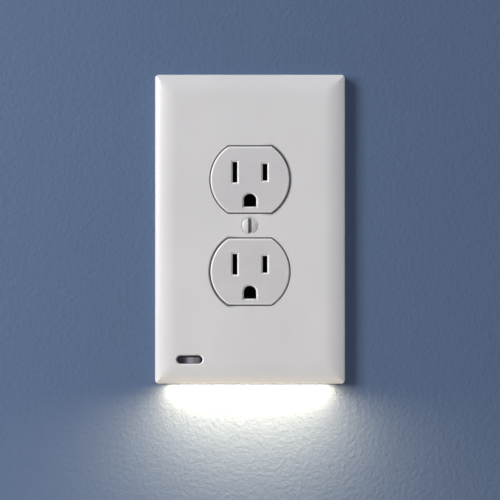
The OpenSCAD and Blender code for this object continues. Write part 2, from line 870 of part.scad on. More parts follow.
module ground_rivets() {
  color("lightgray") for (end = ends) translate([0, 0, end * face_z - rivet_down]) turned([
    [0, -ground_clip_t - rivet_head_t], [rivet_head_r - rivet_head_round, -ground_clip_t - rivet_head_t],
    [rivet_head_r, -ground_clip_t - rivet_head_t + rivet_head_round], [rivet_head_r, -ground_clip_t],
    [rivet_r, -ground_clip_t], [rivet_r, strap_t], [rivet_head_r, strap_t],
    [rivet_head_r, strap_t + rivet_head_t - rivet_head_round],
    [rivet_head_r - rivet_head_round, strap_t + rivet_head_t], [0, strap_t + rivet_head_t]
  ]);
}

// A binding-head screw whose axis runs along x. Its head faces outwards.
module terminal_screw(side, z) {
  slot_d = terminal_head_t / 2;
  translate([0, terminal_back, z]) rotate([0, side * 90, 0]) difference() {
    rotate_extrude() polygon([
      [0, tab_out - shank_in], [terminal_shank_r - shank_point, tab_out - shank_in],
      [terminal_shank_r, tab_out - shank_in + shank_lead], [terminal_shank_r, head_in],
      [terminal_head_r, head_in], [terminal_head_r, head_out - head_rim],
      [terminal_head_r - head_rim, head_out], [0, head_out]
    ]);
    translate([-terminal_head_r - over, -drive_w / 2, head_out - slot_d])
      cube([2 * (terminal_head_r + over), drive_w, slot_d + over]);
    translate([-drive_w / 2, -terminal_head_r * drive_share, head_out - slot_d])
      cube([drive_w, 2 * terminal_head_r * drive_share, slot_d + over]);
  }
}

module hot_terminal_screws() {
  color("darkgoldenrod") for (end = ends) terminal_screw(hot, end * terminal_up);
}

module neutral_terminal_screws() {
  color("silver") for (end = ends) terminal_screw(neutral, end * terminal_up);
}

module ground_terminal_screw() {
  hex_z = ground_lift + ground_washer_t;
  top = ground_lift + ground_head_t;
  color("seagreen") translate([lug_x, ground_screw_back, lug_z]) rotate([0, -90, 0]) difference() {
    union() {
      translate([0, 0, -shank_in]) cylinder(r = ground_shank_r, h = shank_in + hex_z);
      translate([0, 0, ground_lift]) cylinder(r = ground_head_r, h = ground_washer_t);
      translate([0, 0, hex_z]) cylinder(r = ground_hex_r, h = top - hex_z, $fn = 6);
    }
    translate([-ground_head_r - over, -drive_w / 2, top - drive_w])
      cube([2 * (ground_head_r + over), drive_w, drive_w + over]);
  }
}

module body_screws() {
  color("silver") for (end = ends) difference() {
    translate([end * body_screw_x, 0, 0]) turned([
      [0, -body_depth], [body_screw_head_r - body_screw_rim, -body_depth],
      [body_screw_head_r, -body_depth + body_screw_rim],
      [body_screw_head_r, -body_depth + body_screw_head_t],
      [body_screw_r, -body_depth + body_screw_head_t],
      [body_screw_r, body_screw_tip - body_screw_point],
      [body_screw_r - body_screw_point, body_screw_tip], [0, body_screw_tip]
    ]);
    for (turn = [0, 90]) translate([end * body_screw_x, 0, 0]) rotate([0, turn, 0])
      block(0, 0, cross_l, cross_w, -body_depth - over, -body_depth + cross_d);
  }
}

// The screws that hold the strap to the wall box: a plain neck in the strap, and thread behind it.
module mounting_screws() {
  rim = strap_t + box_rim_t;
  head_front = strap_t + box_head_t;
  recess = head_front - box_slot_d;
  color("silver") for (end = ends) translate([0, 0, end * box_pitch / 2]) difference() {
    turned([
      [0, -box_screw_l], [box_screw_r - box_point, -box_screw_l],
      [box_screw_r, -box_screw_l + box_lead],
      [box_screw_r, 0], [box_neck_r, 0], [box_neck_r, strap_t], [box_head_r, strap_t], [box_head_r, rim],
      [box_head_r - box_head_side, head_front - box_head_fall],
      [box_head_r - box_head_flat, head_front], [0, head_front]
    ]);
    block(0, 0, 2 * (box_head_r + over), box_head_slot, recess, head_front + over);
    block(0, 0, box_head_slot, box_head_r, recess, head_front + over);
  }
}

// ---------------------------------------------------------------- cover

// The bay and its legs, seen from the front, grown outwards.
module bay_2d(grow) {
  translate([-bay_half_w - grow, bay_floor - grow]) square([2 * (bay_half_w + grow), bay_h + 2 * grow]);
  for (side = sides) {
    x = side * (leg_in + leg_out) / 2;
    translate([x, (leg_top + bay_top) / 2])
      square([leg_out - leg_in + 2 * grow, leg_top - bay_top + 2 * grow], center = true);
  }
}

// Every post that the board or the rear cover is staked on: [x, z].
function board_posts() = [[-post_x, post_z], [post_x, post_z]];
function leg_posts() = [for (side = sides, z = leg_post_zs) [side * leg_post_x, z]];

module staked_post(at, seat_depth) {
  round_bar(at[0], at[1], post_seat_r, seat_depth, inside + weld);
  round_bar(at[0], at[1], post_r, cover_back, seat_depth + weld);
  round_bar(at[0], at[1], post_head_r, cover_back, cover_back + post_head_t);
}

// The two ribs that an arm's stubs rest in.
module saddles(side) {
  x = side * (saddle_in + saddle_out) / 2;
  for (end = ends) {
    z = end * (arm_h / 2 + slip_gap + saddle_t / 2);
    difference() {
      block(x, z, saddle_out - saddle_in, saddle_t, cover_front, inside + weld);
      saddle_notch(side, z);
    }
  }

  module saddle_notch(side, z) {
    r = stub_r + slip_gap;
    translate([side * pivot_x, -pivot_depth, z - saddle_t]) cylinder(r = r, h = 2 * saddle_t);
    block(side * pivot_x, z, 2 * r, 2 * saddle_t, cover_front - over, pivot_depth);
  }
}

module plate_ribs() {
  collar_depth = flange_front + loose_gap;
  slab(cover_front, inside + weld) difference() {
    bay_2d(rib_t + rib_lap);
    bay_2d(0);
  }
  slab(collar_depth, inside + weld) difference() {
    at_faces() duplex_outline(opening_r + rib_t, opening_half_h + rib_t);
    at_faces() duplex_outline(opening_r, opening_half_h);
    // room for the arms beside the openings
    for (side = sides) translate([side * (arm_in + arm_t / 2), 0])
      square([arm_t + 2 * loose_gap, arm_h + 2 * loose_gap], center = true);
  }
  round_bar(0, 0, screw_head_r + screw_boss_wall, collar_depth, inside + weld);
  // stiffening ribs in the upper half
  rib_back = collar_depth - stiff_back;
  stiff_l = plate_up - plate_wall - leg_top;
  for (side = sides) {
    block(side * stiff_x, leg_top + rib_t + stiff_l / 2, rib_t, stiff_l, rib_back, inside + weld);
    block(side * (opening_r + plate_half_w) / 2, face_z + stiff_up,
      plate_half_w - opening_r - ring_clear, rib_t, rib_back, inside + weld);
  }
  block(0, plate_up - stiff_down, 2 * (plate_half_w - plate_wall), rib_t, rib_back, inside + weld);
  for (at = board_posts()) staked_post(at, board_front);
  for (at = leg_posts()) staked_post(at, cover_front);
  for (side = sides) saddles(side);
}

module cover_plate() {
  color([0.9, 0.9, 0.9]) difference() {
    union() {
      difference() {
        crowned_block(0, edge_round, corner_round, 0);
        crowned_block(-plate_wall, inner_round, inner_round, -over);
      }
      intersection() {
        plate_ribs();
        crowned_block(-rib_sink, edge_round, corner_round, 0);
      }
    }
    slab(0, face_front + over) at_faces() duplex_outline(opening_r, opening_half_h);
    round_bar(0, 0, screw_r + 2 * slip_gap, 0, face_front + over);
    cone_bar(screw_r + slip_gap, screw_r + slip_gap + plate_depth + over - screw_under, screw_under,
      plate_depth + over);
    translate([sensor_x, 0, sensor_z])
      bevelled_pill(sensor_w, sensor_h, window_bevel, inside - over, plate_depth);
    block(0, -plate_down, bar_l, 4 * plate_wall, bar_back, bar_front);
  }
}

module rear_cover() {
  color([0.86, 0.86, 0.87]) difference() {
    slab(cover_back, cover_front) difference() {
      intersection() {
        bay_2d(rib_t - panel_gap);
        translate([-plate_half_w, bay_floor + panel_gap]) square([plate_w, plate_up + plate_down]);
      }
      // the switch window
      translate([switch_x, part_z])
        square([knob_w + switch_travel + 2 * loose_gap, knob_h + 2 * loose_gap], center = true);
      // the way through for an arm
      for (side = sides) translate([side * (arm_in + arm_t + 2 * loose_gap + leg_in - rib_lap) / 2, 0])
        square([arm_t + 2 * loose_gap + arm_in - leg_in + rib_lap, arm_h + 2 * loose_gap], center = true);
      for (at = concat(board_posts(), leg_posts())) translate(at) circle(post_r + slip_gap);
    }
    for (at = concat(board_posts(), leg_posts()))
      round_bar(at[0], at[1], post_head_r + slip_gap, cover_back - over, cover_back + post_head_t);
    // a shallow thumb recess round the switch window
    block(switch_x, part_z, knob_w + switch_travel + 2 * thumb_margin, knob_h + 2 * thumb_margin,
      cover_back - over, cover_back + thumb_d);
  }
}

// The bar fills the slot in the plate's lower wall, and a lip at each end holds it from inside.
module light_bar() {
  body_h = plate_wall - bar_recess + touch_gap;
  color([0.98, 0.96, 0.88]) union() {
    block(0, -plate_down + bar_recess + body_h / 2, bar_l - 2 * slip_gap, body_h,
      bar_back + slip_gap, bar_front - slip_gap);
    block(0, bay_floor + bar_lip_t / 2, bar_l + 2 * bar_lip, bar_lip_t, bar_back, bar_front);
  }
}

function led_x(i) = (i - (led_count - 1) / 2) * led_pitch;

// Each diode lies on the board's edge and shines down into the light bar.
module led_packages() {
  z = board_low + led_h / 2;
  color([0.95, 0.95, 0.93]) for (i = [0:led_count - 1]) difference() {
    block(led_x(i), z, led_w, led_h, board_front, board_front + led_t);
    block(led_x(i), board_low, led_w - led_cup, led_cup, board_front + led_lip,
      board_front + led_t - led_lip);
  }
}

module led_emitters() {
  color("gold") for (i = [0:led_count - 1])
    block(led_x(i), board_low + phosphor_t / 2, led_w - led_cup, phosphor_t, board_front + led_lip,
      board_front + led_t - led_lip);
}

module sensor_lens() {
  flange_front_depth = inside - 2 * lens_gap;
  color([0.35, 0.33, 0.42]) translate([sensor_x, 0, sensor_z]) union() {
    slab(flange_front_depth - weld, plate_depth - lens_recess) pill(sensor_w - 2 * lens_gap,
      sensor_h - 2 * lens_gap);
    slab(flange_front_depth - lens_flange_t, flange_front_depth) pill(sensor_w + 2 * lens_flange,
      sensor_h + 2 * lens_flange);
  }
}

module light_sensor() {
  r = sensor_d / 2;
  top = board_front + sensor_body_t;
  color("tan") translate([sensor_x, 0, sensor_z]) turned([
    [0, board_front], [r, board_front], [r, top - sensor_round], [r - sensor_round, top], [0, top]
  ]);
}

module circuit_board() {
  color("darkgreen") slab(board_back, board_front) difference() {
    translate([0, (board_low + board_high) / 2]) rounded_square(2 * board_half_w,
      board_high - board_low, board_round);
    for (at = board_posts()) translate(at) circle(post_r + slip_gap);
    translate([switch_x, part_z])
      square([knob_w + switch_travel + 2 * slip_gap, knob_h + 2 * slip_gap], center = true);
    // solder holes of the two wires
    for (side = sides) translate([side * pad_x, pad_z]) circle(core_r + slip_gap);
  }
}

module driver_chip() {
  color([0.12, 0.12, 0.13]) chip(part_x(2), driver_w, driver_t, driver_legs);
}

module bridge_rectifier() {
  color([0.1, 0.1, 0.1]) chip(part_x(4), bridge_w, bridge_t, bridge_legs);
}

// A surface-mount chip with gull-wing legs on its upper and lower sides, joined to it.
module chip(x, w, t, legs) {
  pitch = (w - 2 * chip_margin) / (legs - 1);
  block(x, part_z, w, chip_h, board_front + chip_stand, board_front + t);
  for (i = [0:legs - 1], end = ends) {
    leg_x = x + (i - (legs - 1) / 2) * pitch;
    // the leg's drop from the chip's side, then its foot on the board
    block(leg_x, part_z + end * chip_h / 2, leg_strip_w, foot_l, board_front + chip_stand,
      board_front + t / 2);
    block(leg_x, part_z + end * (chip_h + foot_l) / 2, leg_strip_w, foot_l, board_front,
      board_front + 2 * chip_stand);
  }
}

module input_fuse() {
  color([0.75, 0.7, 0.6]) block(part_x(6), part_z, fuse_w, fuse_h, board_front, board_front + fuse_t);
}

module chip_capacitors() {
  color([0.72, 0.55, 0.38]) for (i = [0, 1])
    block(part_x(i), part_z, capacitor_w, capacitor_h, board_front, board_front + capacitor_t);
}

module chip_resistors() {
  color([0.15, 0.15, 0.18]) for (i = [3, 5, 7])
    block(part_x(i), part_z, resistor_w, resistor_h, board_front, board_front + resistor_t);
}

module switch_case() {
  color("lightgray") difference() {
    block(switch_x, part_z, switch_w, switch_h, board_front, board_front + switch_t);
    block(switch_x, part_z, switch_w - 2 * switch_skin, switch_h - 2 * switch_skin,
      board_front - over, board_front + switch_t - switch_skin);
  }
}

module switch_knob() {
  base_back = board_front + slip_gap;
  color([0.1, 0.1, 0.1]) union() {
    block(knob_rest_x, part_z, knob_w, knob_h, knob_recess, base_back + weld);
    block(knob_rest_x, part_z, knob_base_w, switch_h - 2 * switch_skin - 2 * slip_gap, base_back,
      base_back + knob_base_t);
  }
}

// A route with each inner corner rounded off, from a list of [x, z] points.
function rounded_route(points, reach, steps) = concat([points[0]], [
  for (i = [1:len(points) - 2])
    let (to_last = points[i - 1] - points[i], to_next = points[i + 1] - points[i])
    let (from = points[i] + reach * to_last / norm(to_last),
      to = points[i] + reach * to_next / norm(to_next))
    for (j = [0:steps]) let (t = j / steps)
      (1 - t) * (1 - t) * from + 2 * t * (1 - t) * points[i] + t * t * to
], [points[len(points) - 1]]);

// A round wire swept along a route of [x, z] points, all at one depth.
module wire(route, depth, r, sides_n) {
  last = len(route) - 1;
  function along(i) = let (step = route[min(i + 1, last)] - route[max(i - 1, 0)]) step / norm(step);
  rings = [for (i = [0:last], k = [0:sides_n - 1])
    let (d = along(i), a = 360 * k / sides_n)
    [route[i][0] + r * cos(a) * d[1], -depth + r * sin(a), route[i][1] - r * cos(a) * d[0]]];
  polyhedron(rings, concat(
    [[for (k = [0:sides_n - 1]) k]],
    [for (i = [0:last - 1], k = [0:sides_n - 1])
      let (next = (k + 1) % sides_n)
      [i * sides_n + k, (i + 1) * sides_n + k, (i + 1) * sides_n + next, i * sides_n + next]],
    [[for (k = [sides_n - 1:-1:0]) last * sides_n + k]]
  ));
}

// An arm's wire: its upper end is hooked into the contact's tail, and its lower end goes into the board.
module arm_wire(side) {
  top = [wire_top_x, tail_hole_z - wire_r - wire_clear];
  corners = [
    top, top - [0, wire_run_low / 3], [wire_run_x, top[1] - wire_run_low],
    [wire_run_x, pad_z + wire_run_low], [pad_x, pad_z + wire_run_low / 2], [pad_x, pad_z + wire_end_up]
  ];
  mirror([side > 0 ? 0 : 1, 0, 0]) {
    wire(rounded_route(corners, wire_bend, wire_bend_steps), wire_depth, wire_r, wire_facets);
    // bare core: up from the insulation and through the tail's hole, and down and through the board's hole
    translate([top[0], -wire_depth, top[1] - wire_r])
      cylinder(r = core_r, h = tail_hole_z - top[1] + wire_r);
    translate([contact_in - loose_gap, -wire_depth, tail_hole_z]) rotate([0, 90, 0])
      cylinder(r = core_r + touch_gap, h = top[0] + core_r - contact_in + 2 * loose_gap);
    translate([pad_x, -wire_depth, pad_z]) cylinder(r = core_r, h = wire_end_up + wire_r / 2);
    round_bar(pad_x, pad_z, core_r + touch_gap, board_back, wire_depth + core_r + touch_gap);
  }
}

module hot_wire() {
  color([0.1, 0.1, 0.1]) arm_wire(hot);
}

module neutral_wire() {
  color("whitesmoke") arm_wire(neutral);
}

// The outline of an arm or a contact seen from the side, with its tip's corners rounded, from x to x.
module tip_outline(from, to, h, r) {
  translate([from, 0, 0]) rotate([0, 90, 0]) linear_extrude(to - from) {
    translate([-h / 2, -inside]) square([h, inside + arm_reach - r]);
    translate([-h / 2 + r, 0]) square([h - 2 * r, arm_reach]);
    for (end = ends) translate([end * (h / 2 - r), arm_reach - r]) circle(r);
  }
}

// A contact arm: a stiff plastic blade on a barrel, with a bed for the spring contact.
module arm(side) {
  tip = arm_reach;
  out = arm_in + arm_t;
  root = pivot_depth - barrel_r + weld;
  blade = [
    [arm_in, root], [arm_in, -tip + tip_bend + tip_ease], [arm_in + tip_flare, -tip + loose_gap],
    [arm_in + tip_flare + tip_flat, -tip], [out - tip_bevel, -tip], [out, -tip + tip_taper], [out, root]
  ];
  mirror([side > 0 ? 0 : 1, 0, 0]) difference() {
    union() {
      intersection() {
        cross_section(0, arm_h) polygon(blade);
        tip_outline(arm_in - over, out + over, arm_h, tip_round);
      }
      cross_section(0, arm_h) {
        translate([pivot_x, pivot_depth]) circle(barrel_r);
        translate([pivot_x - heel_w / 2, heel_back]) square([heel_w, pivot_depth - heel_back]);
      }
      cross_section(0, arm_h + 2 * stub_l) translate([pivot_x, pivot_depth]) circle(stub_r);
    }
    // the contact's bed
    translate([arm_in - over, -inside, -contact_h / 2 - slip_gap])
      cube([arm_body_in - arm_in + over, inside + tip - tip_bend, contact_h + 2 * slip_gap]);
    translate([0, 0, -contact_h / 2 - slip_gap]) linear_extrude(contact_h + 2 * slip_gap)
      mirror([0, 1]) polygon([
        [arm_in - over, -tip + tip_bend + loose_gap], [arm_body_in, -tip + tip_bend + loose_gap],
        [arm_body_in + tip_flare, -tip], [arm_body_in + tip_flare, -tip - over],
        [arm_in - over, -tip - over]
      ]);
    // two shallow grooves down the outside
    for (end = ends) translate([out - groove_d, groove_w, end * arm_h / 6 - groove_w / 2])
      cube([groove_d + over, tip - 2 * groove_w, groove_w]);
  }
}

// The spring contact: a flat strip with a turned-out tip and a tail for the wire.
module contact(side) {
  tip = arm_reach;
  strip = [
    [contact_in, tail_front], [contact_in, -tip + tip_bend], [contact_in + tip_flare, -tip],
    [contact_in + tip_flare + contact_t, -tip], [contact_in + contact_t, -tip + tip_bend],
    [contact_in + contact_t, tail_front]
  ];
  tail_low = -arm_h / 2 - saddle_t - tail_drop;
  tail_l = -contact_h / 2 - tail_low;
  mirror([side > 0 ? 0 : 1, 0, 0]) difference() {
    union() {
      intersection() {
        cross_section(0, contact_h) polygon(strip);
        tip_outline(contact_in - over, arm_body_in + tip_flare + over, contact_h,
          tip_round - contact_margin / 2);
      }
      block(contact_in + contact_t / 2, tail_low + tail_l / 2, contact_t, tail_l, tail_back,
        tail_front);
    }
    translate([contact_in - over, -wire_depth, tail_hole_z]) rotate([0, 90, 0])
      cylinder(r = tail_hole_r, h = contact_t + 2 * over);
  }
}

module hot_arm() {
  color([0.93, 0.93, 0.9]) arm(hot);
}

module hot_contact() {
  color("darkgoldenrod") contact(hot);
}

module neutral_arm() {
  color([0.93, 0.93, 0.9]) arm(neutral);
}

module neutral_contact() {
  color("darkgoldenrod") contact(neutral);
}

// The cover screw: an oval head in the plate's countersink, and a shank through the strap.
module cover_screw() {
  end = screw_rim - screw_l;
  top = screw_rim + screw_dome;
  dome_r = (screw_head_r * screw_head_r + screw_dome * screw_dome) / (2 * screw_dome);
  half_turn = asin(screw_head_r / dome_r);
  color("gainsboro") difference() {
    turned(concat(
      [[0, end], [screw_r - screw_tip, end], [screw_r, end + screw_tip], [screw_r, screw_under]],
      arc([0, top - dome_r], dome_r, 90 - half_turn, 90, edge_steps)
    ));
    block(0, 0, screw_slot_w, 2 * (screw_head_r + over), top - screw_slot_d, top + over);
  }
}

outlet_face();
outlet_body();
mounting_strap();
hot_bus();
neutral_bus();
ground_clips();
ground_rivets();
hot_terminal_screws();
neutral_terminal_screws();
ground_terminal_screw();
body_screws();
mounting_screws();
cover_plate();
rear_cover();
light_bar();
led_packages();
led_emitters();
sensor_lens();
light_sensor();
circuit_board();
driver_chip();
bridge_rectifier();
input_fuse();
chip_capacitors();
chip_resistors();
switch_case();
switch_knob();
hot_wire();
neutral_wire();
hot_arm();
hot_contact();
neutral_arm();
neutral_contact();
cover_screw();
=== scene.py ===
import json
import math

import bmesh
import bpy
from mathutils import Matrix, Vector


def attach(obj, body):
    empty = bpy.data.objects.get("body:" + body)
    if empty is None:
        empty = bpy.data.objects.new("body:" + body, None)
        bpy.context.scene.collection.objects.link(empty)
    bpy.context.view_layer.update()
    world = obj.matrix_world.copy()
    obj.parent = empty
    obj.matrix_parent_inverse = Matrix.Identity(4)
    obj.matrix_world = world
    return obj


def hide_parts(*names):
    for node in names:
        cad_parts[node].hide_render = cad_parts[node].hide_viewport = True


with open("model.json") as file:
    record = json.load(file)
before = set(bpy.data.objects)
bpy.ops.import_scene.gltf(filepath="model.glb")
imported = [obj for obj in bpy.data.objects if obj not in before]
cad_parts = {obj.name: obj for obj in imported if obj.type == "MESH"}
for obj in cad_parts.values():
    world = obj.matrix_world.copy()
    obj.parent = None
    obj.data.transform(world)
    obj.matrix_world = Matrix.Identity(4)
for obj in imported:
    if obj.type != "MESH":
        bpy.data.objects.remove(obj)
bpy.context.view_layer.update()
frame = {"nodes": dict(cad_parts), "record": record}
nodes = frame["nodes"]
record = frame["record"]
slotOf = {row["node"]: row["material_slot"] for row in record["subparts"]}
bodyOf = {node: body for body, members in record["behaviour"]["bodies"].items() for node in members}
mm = 0.001
fullTurn = 2.0 * math.pi
print("frame loaded:", len(nodes), "nodes")


# a socket that takes part in sums, each of which adds its own node
class Reading:
    def __init__(self, wiring, socket):
        self.wiring = wiring
        self.socket = socket

    def math(self, operation, *others):
        return self.wiring.node("ShaderNodeMath", {"operation": operation}, self, *others)

    def turned(self, operation, other):
        return self.wiring.node("ShaderNodeMath", {"operation": operation}, other, self)

    def __add__(self, other): return self.math("ADD", other)
    def __sub__(self, other): return self.math("SUBTRACT", other)
    def __mul__(self, other): return self.math("MULTIPLY", other)
    def __radd__(self, other): return self.turned("ADD", other)
    def __rsub__(self, other): return self.turned("SUBTRACT", other)
    def __rmul__(self, other): return self.turned("MULTIPLY", other)
    def __abs__(self): return self.math("ABSOLUTE")
    def sine(self): return self.math("SINE")
    def root(self): return self.math("SQRT")
    def sign(self): return self.math("SIGN")
    def least(self, other): return self.math("MINIMUM", other)
    def most(self, other): return self.math("MAXIMUM", other)
    def below(self, other): return self.math("LESS_THAN", other)

    # 0 at the first value, 1 at the second, and smooth between them, whichever is larger
    def step(self, low, high):
        return self.wiring.node("ShaderNodeMapRange", {"interpolation_type": "SMOOTHSTEP"},
                                self, low, high, 0.0, 1.0)

    # the same, but straight and between any two values
    def spread(self, low, high, first, last):
        return self.wiring.node("ShaderNodeMapRange", {"clamp": True}, self, low, high, first, last)


# distance from the middle of a circle
def radius(across, up):
    return (across * across + up * up).root()


# a node tree and the one method that adds to it
class Wiring:
    def __init__(self, tree):
        self.tree = tree

    # a node's type, its settings, and the values or links of its sockets in order or by name
    def node(self, kind, settings=None, *values, **named):
        made = self.tree.nodes.new(kind)
        output = 0
        for key, value in (settings or {}).items():
            if key == "output":
                output = value
            else:
                setattr(made, key, value)
        for key, value in [*enumerate(values), *named.items()]:
            self.feed(made.inputs[key.replace("_", " ") if isinstance(key, str) else key], value)
        return Reading(self, made.outputs[output])

    def feed(self, socket, value):
        if value is None:
            return
        if isinstance(value, Reading):
            self.tree.links.new(value.socket, socket)
        elif isinstance(value, (tuple, list)) and len(value) == 3 and socket.type == "RGBA":
            socket.default_value = (*value, 1.0)
        else:
            socket.default_value = value

    def found(self, kind):
        return next(node for node in self.tree.nodes if node.type == kind)

    # 1 for the rays of a kind, such as Camera or Shadow
    def ray(self, kind):
        return self.node("ShaderNodeLightPath", {"output": f"Is {kind} Ray"})


# one material: its Principled shader and the patterns that feed it
class Look(Wiring):
    def __init__(self, name):
        self.material = bpy.data.materials.new(name)
        self.material.use_nodes = True
        super().__init__(self.material.node_tree)
        self.shader = self.found("BSDF_PRINCIPLED")
        self.place = self.node("ShaderNodeTexCoord", {"output": "Object"})

    def set(self, **sockets):
        for name, value in sockets.items():
            self.feed(self.shader.inputs[name.replace("_", " ")], value)

    def axis(self, index):
        return self.node("ShaderNodeSeparateXYZ", {"output": index}, self.place)

    def axes(self):
        return [self.axis(index) for index in range(3)]

    # a pattern's place, stretched along each axis and turned
    def stretched(self, scale, rotation=(0, 0, 0)):
        return self.node("ShaderNodeMapping", {}, Vector=self.place, Rotation=rotation, Scale=scale)

    def noise(self, scale, detail=3.0, roughness=0.5, place=None, distortion=0.0):
        return self.node("ShaderNodeTexNoise", {"normalize": True}, Vector=place or self.place,
                         Scale=scale, Detail=detail, Roughness=roughness, Distortion=distortion)

    def cells(self, scale, place=None, output="Distance", randomness=1.0):
        return self.node("ShaderNodeTexVoronoi", {"output": output}, Vector=place or self.place,
                         Scale=scale, Randomness=randomness)

    # a colour between two others: the Mix node's sockets 1 to 5 are for other types of value
    def mix(self, amount, first, second):
        return self.node("ShaderNodeMix", {"data_type": "RGBA", "output": 2},
                         amount, *[None] * 5, first, second)

    def bump(self, height, depth, strength, before=None):
        return self.node("ShaderNodeBump", {}, Height=height, Distance=depth, Strength=strength,
                         Normal=before)

    # fine straight scratches: thin lines of a stretched noise, kept to patches
    def scratches(self, along, patch, rotation, width=0.035):
        lines = self.noise(1.0, 2.0, 0.6, self.stretched(along, rotation))
        thin = 1.0 - abs(lines - 0.5).spread(0.0, width, 0.0, 1.0)
        return thin * self.noise(patch, 2.0).step(0.5, 0.68)


# shared by all moulded plastics; depths are in metres
mouldedSkin = {
    "flowStretch": (90, 90, 24), "flowTurn": (0.0, 0.0, 0.3), "specular": 0.5, "ior": 1.49,
    "swellScale": 45.0, "swellDepth": 0.00010, "grainRough": 0.08,
    "hairPatch": 70.0, "hairTurn": (0.1, 0.5, 0.2), "hairDepth": 0.000006, "hairRough": 0.10,
    "roughest": 0.95,
}


# what a moulded plastic shows: clouds in its colour, specks, a grained skin, rubbed patches
def plastic(slot, tone):
    look = Look(slot)
    clouds = look.noise(tone["cloudScale"], 4.0, 0.55)
    streaks = look.stretched(mouldedSkin["flowStretch"], mouldedSkin["flowTurn"])
    flow = look.noise(1.0, 3.0, 0.6, streaks)
    specks = look.noise(tone["speckScale"], 2.0, 0.6).step(0.66, 0.78)
    colour = look.mix(clouds.step(0.3, 0.7), tone["dark"], tone["light"])
    colour = look.mix(flow.step(0.42, 0.66) * tone["flow"], colour, tone["tint"])
    colour = look.mix(specks * tone["specks"], colour, tone["speckColour"])
    rub = look.noise(tone["rubScale"], 3.0, 0.6).step(0.45, 0.7)
    hair = look.scratches(tone["hairStretch"], mouldedSkin["hairPatch"], mouldedSkin["hairTurn"])
    grain = look.noise(tone["grainScale"], 3.0, 0.65)
    gloss = rub.spread(0.0, 1.0, tone["rough"], tone["rubbed"])
    gloss = gloss + (grain - 0.5) * mouldedSkin["grainRough"] + hair * mouldedSkin["hairRough"]
    skin = look.bump(look.noise(mouldedSkin["swellScale"], 2.0), mouldedSkin["swellDepth"], 0.35)
    skin = look.bump(grain, tone["grainDepth"], 0.55, skin)
    skin = look.bump(1.0 - hair, mouldedSkin["hairDepth"], 0.4, skin)
    look.set(Base_Color=colour, Roughness=gloss.least(mouldedSkin["roughest"]), Normal=skin,
             IOR=mouldedSkin["ior"], Specular_IOR_Level=mouldedSkin["specular"])
    look.colour, look.gloss, look.skin = colour, gloss, skin
    return look


# shared by all metals
metalSkin = {
    "hairStretch": (900, 900, 60), "hairPatch": 150.0, "hairTurn": (0.2, 0.1, 0.7),
    "hairShine": 0.5, "hairDepth": 0.000006, "cloudDepth": 0.00003,
    "spotRough": 0.18, "spotDull": 0.35, "smoothest": 0.12, "roughest": 0.9,
}


# what rolled, turned or plated metal shows: a brushed lay, tarnish, dull spots and scratches
def metal(slot, tone):
    look = Look(slot)
    lay = look.noise(1.0, 4.0, 0.7, look.stretched(tone["lay"]))
    cloud = look.noise(tone["cloudScale"], 5.0, 0.62)
    spot = look.noise(tone["spotScale"], 3.0, 0.7).step(0.60, 0.74)
    colour = look.mix(cloud.step(0.32, 0.7), tone["bright"], tone["dull"])
    colour = look.mix(spot * tone["spots"], colour, tone["stain"])
    hair = look.scratches(metalSkin["hairStretch"], metalSkin["hairPatch"], metalSkin["hairTurn"])
    colour = look.mix(hair * metalSkin["hairShine"], colour, tone["bright"])
    gloss = cloud.spread(0.3, 0.7, tone["rough"], tone["worn"])
    gloss = gloss + (lay - 0.5) * tone["layRough"] + spot * metalSkin["spotRough"]
    skin = look.bump(lay, tone["layDepth"], 0.6)
    skin = look.bump(cloud, metalSkin["cloudDepth"], 0.3, skin)
    skin = look.bump(1.0 - hair, metalSkin["hairDepth"], 0.5, skin)
    look.set(Base_Color=colour, Metallic=1.0 - spot * tone["spots"] * metalSkin["spotDull"],
             Roughness=gloss.most(metalSkin["smoothest"]).least(metalSkin["roughest"]), Normal=skin)
    look.colour, look.gloss, look.spot = colour, gloss, spot
    return look


# in all finishes places and widths are in metres, and a pair of them says where a mask is 0 and
# where it is 1
plateFinish = {
    "dark": (0.600, 0.592, 0.600), "light": (0.638, 0.630, 0.637), "tint": (0.625, 0.605, 0.612),
    "flow": 0.35, "speckColour": (0.50, 0.48, 0.46), "specks": 0.10,
    "cloudScale": 22.0, "speckScale": 900.0, "rubScale": 34.0, "hairStretch": (700, 700, 45),
    "grainScale": 2600.0, "grainDepth": 0.000012, "rough": 0.33, "rubbed": 0.43,
    "coat": 0.12, "coatRough": 0.12,
    "apart": 0.01945, "openRadius": 0.0172, "openFlat": 0.0145, "screwRadius": 0.0036,
    "dustColour": (0.46, 0.44, 0.42), "dust": 0.28, "openDust": 0.0011, "screwDust": 0.0009,
    "dustRough": 0.2, "markColour": (0.57, 0.555, 0.54), "marks": 0.10, "markRough": 0.06,
    "gapSide": (0.004, 0.012), "gapWidth": (0.00060, 0.00035), "gapShade": 0.75,
    "gapShadeColour": (0.07, 0.07, 0.075),
    "window": (-0.0255, -0.0566), "mouthWide": (0.0070, 0.0066), "mouthTall": (0.0030, 0.0026),
    "mouthDeep": (-0.00697, -0.00690), "highlightColour": (0.84, 0.83, 0.84), "lip": 0.85,
    "brightestHighlight": (0.97, 0.97, 0.97), "brightFrom": (0.0035, 0.0056),
    "warmLightColour": (0.70, 0.665, 0.575), "warm": 0.55, "warmFrom": (-0.0605, -0.0668),
    "glowColour": (1.0, 0.93, 0.80), "glow": 0.30, "glowWide": (0.039, 0.026),
    "glowEdge": (-0.0660, -0.0669),
}


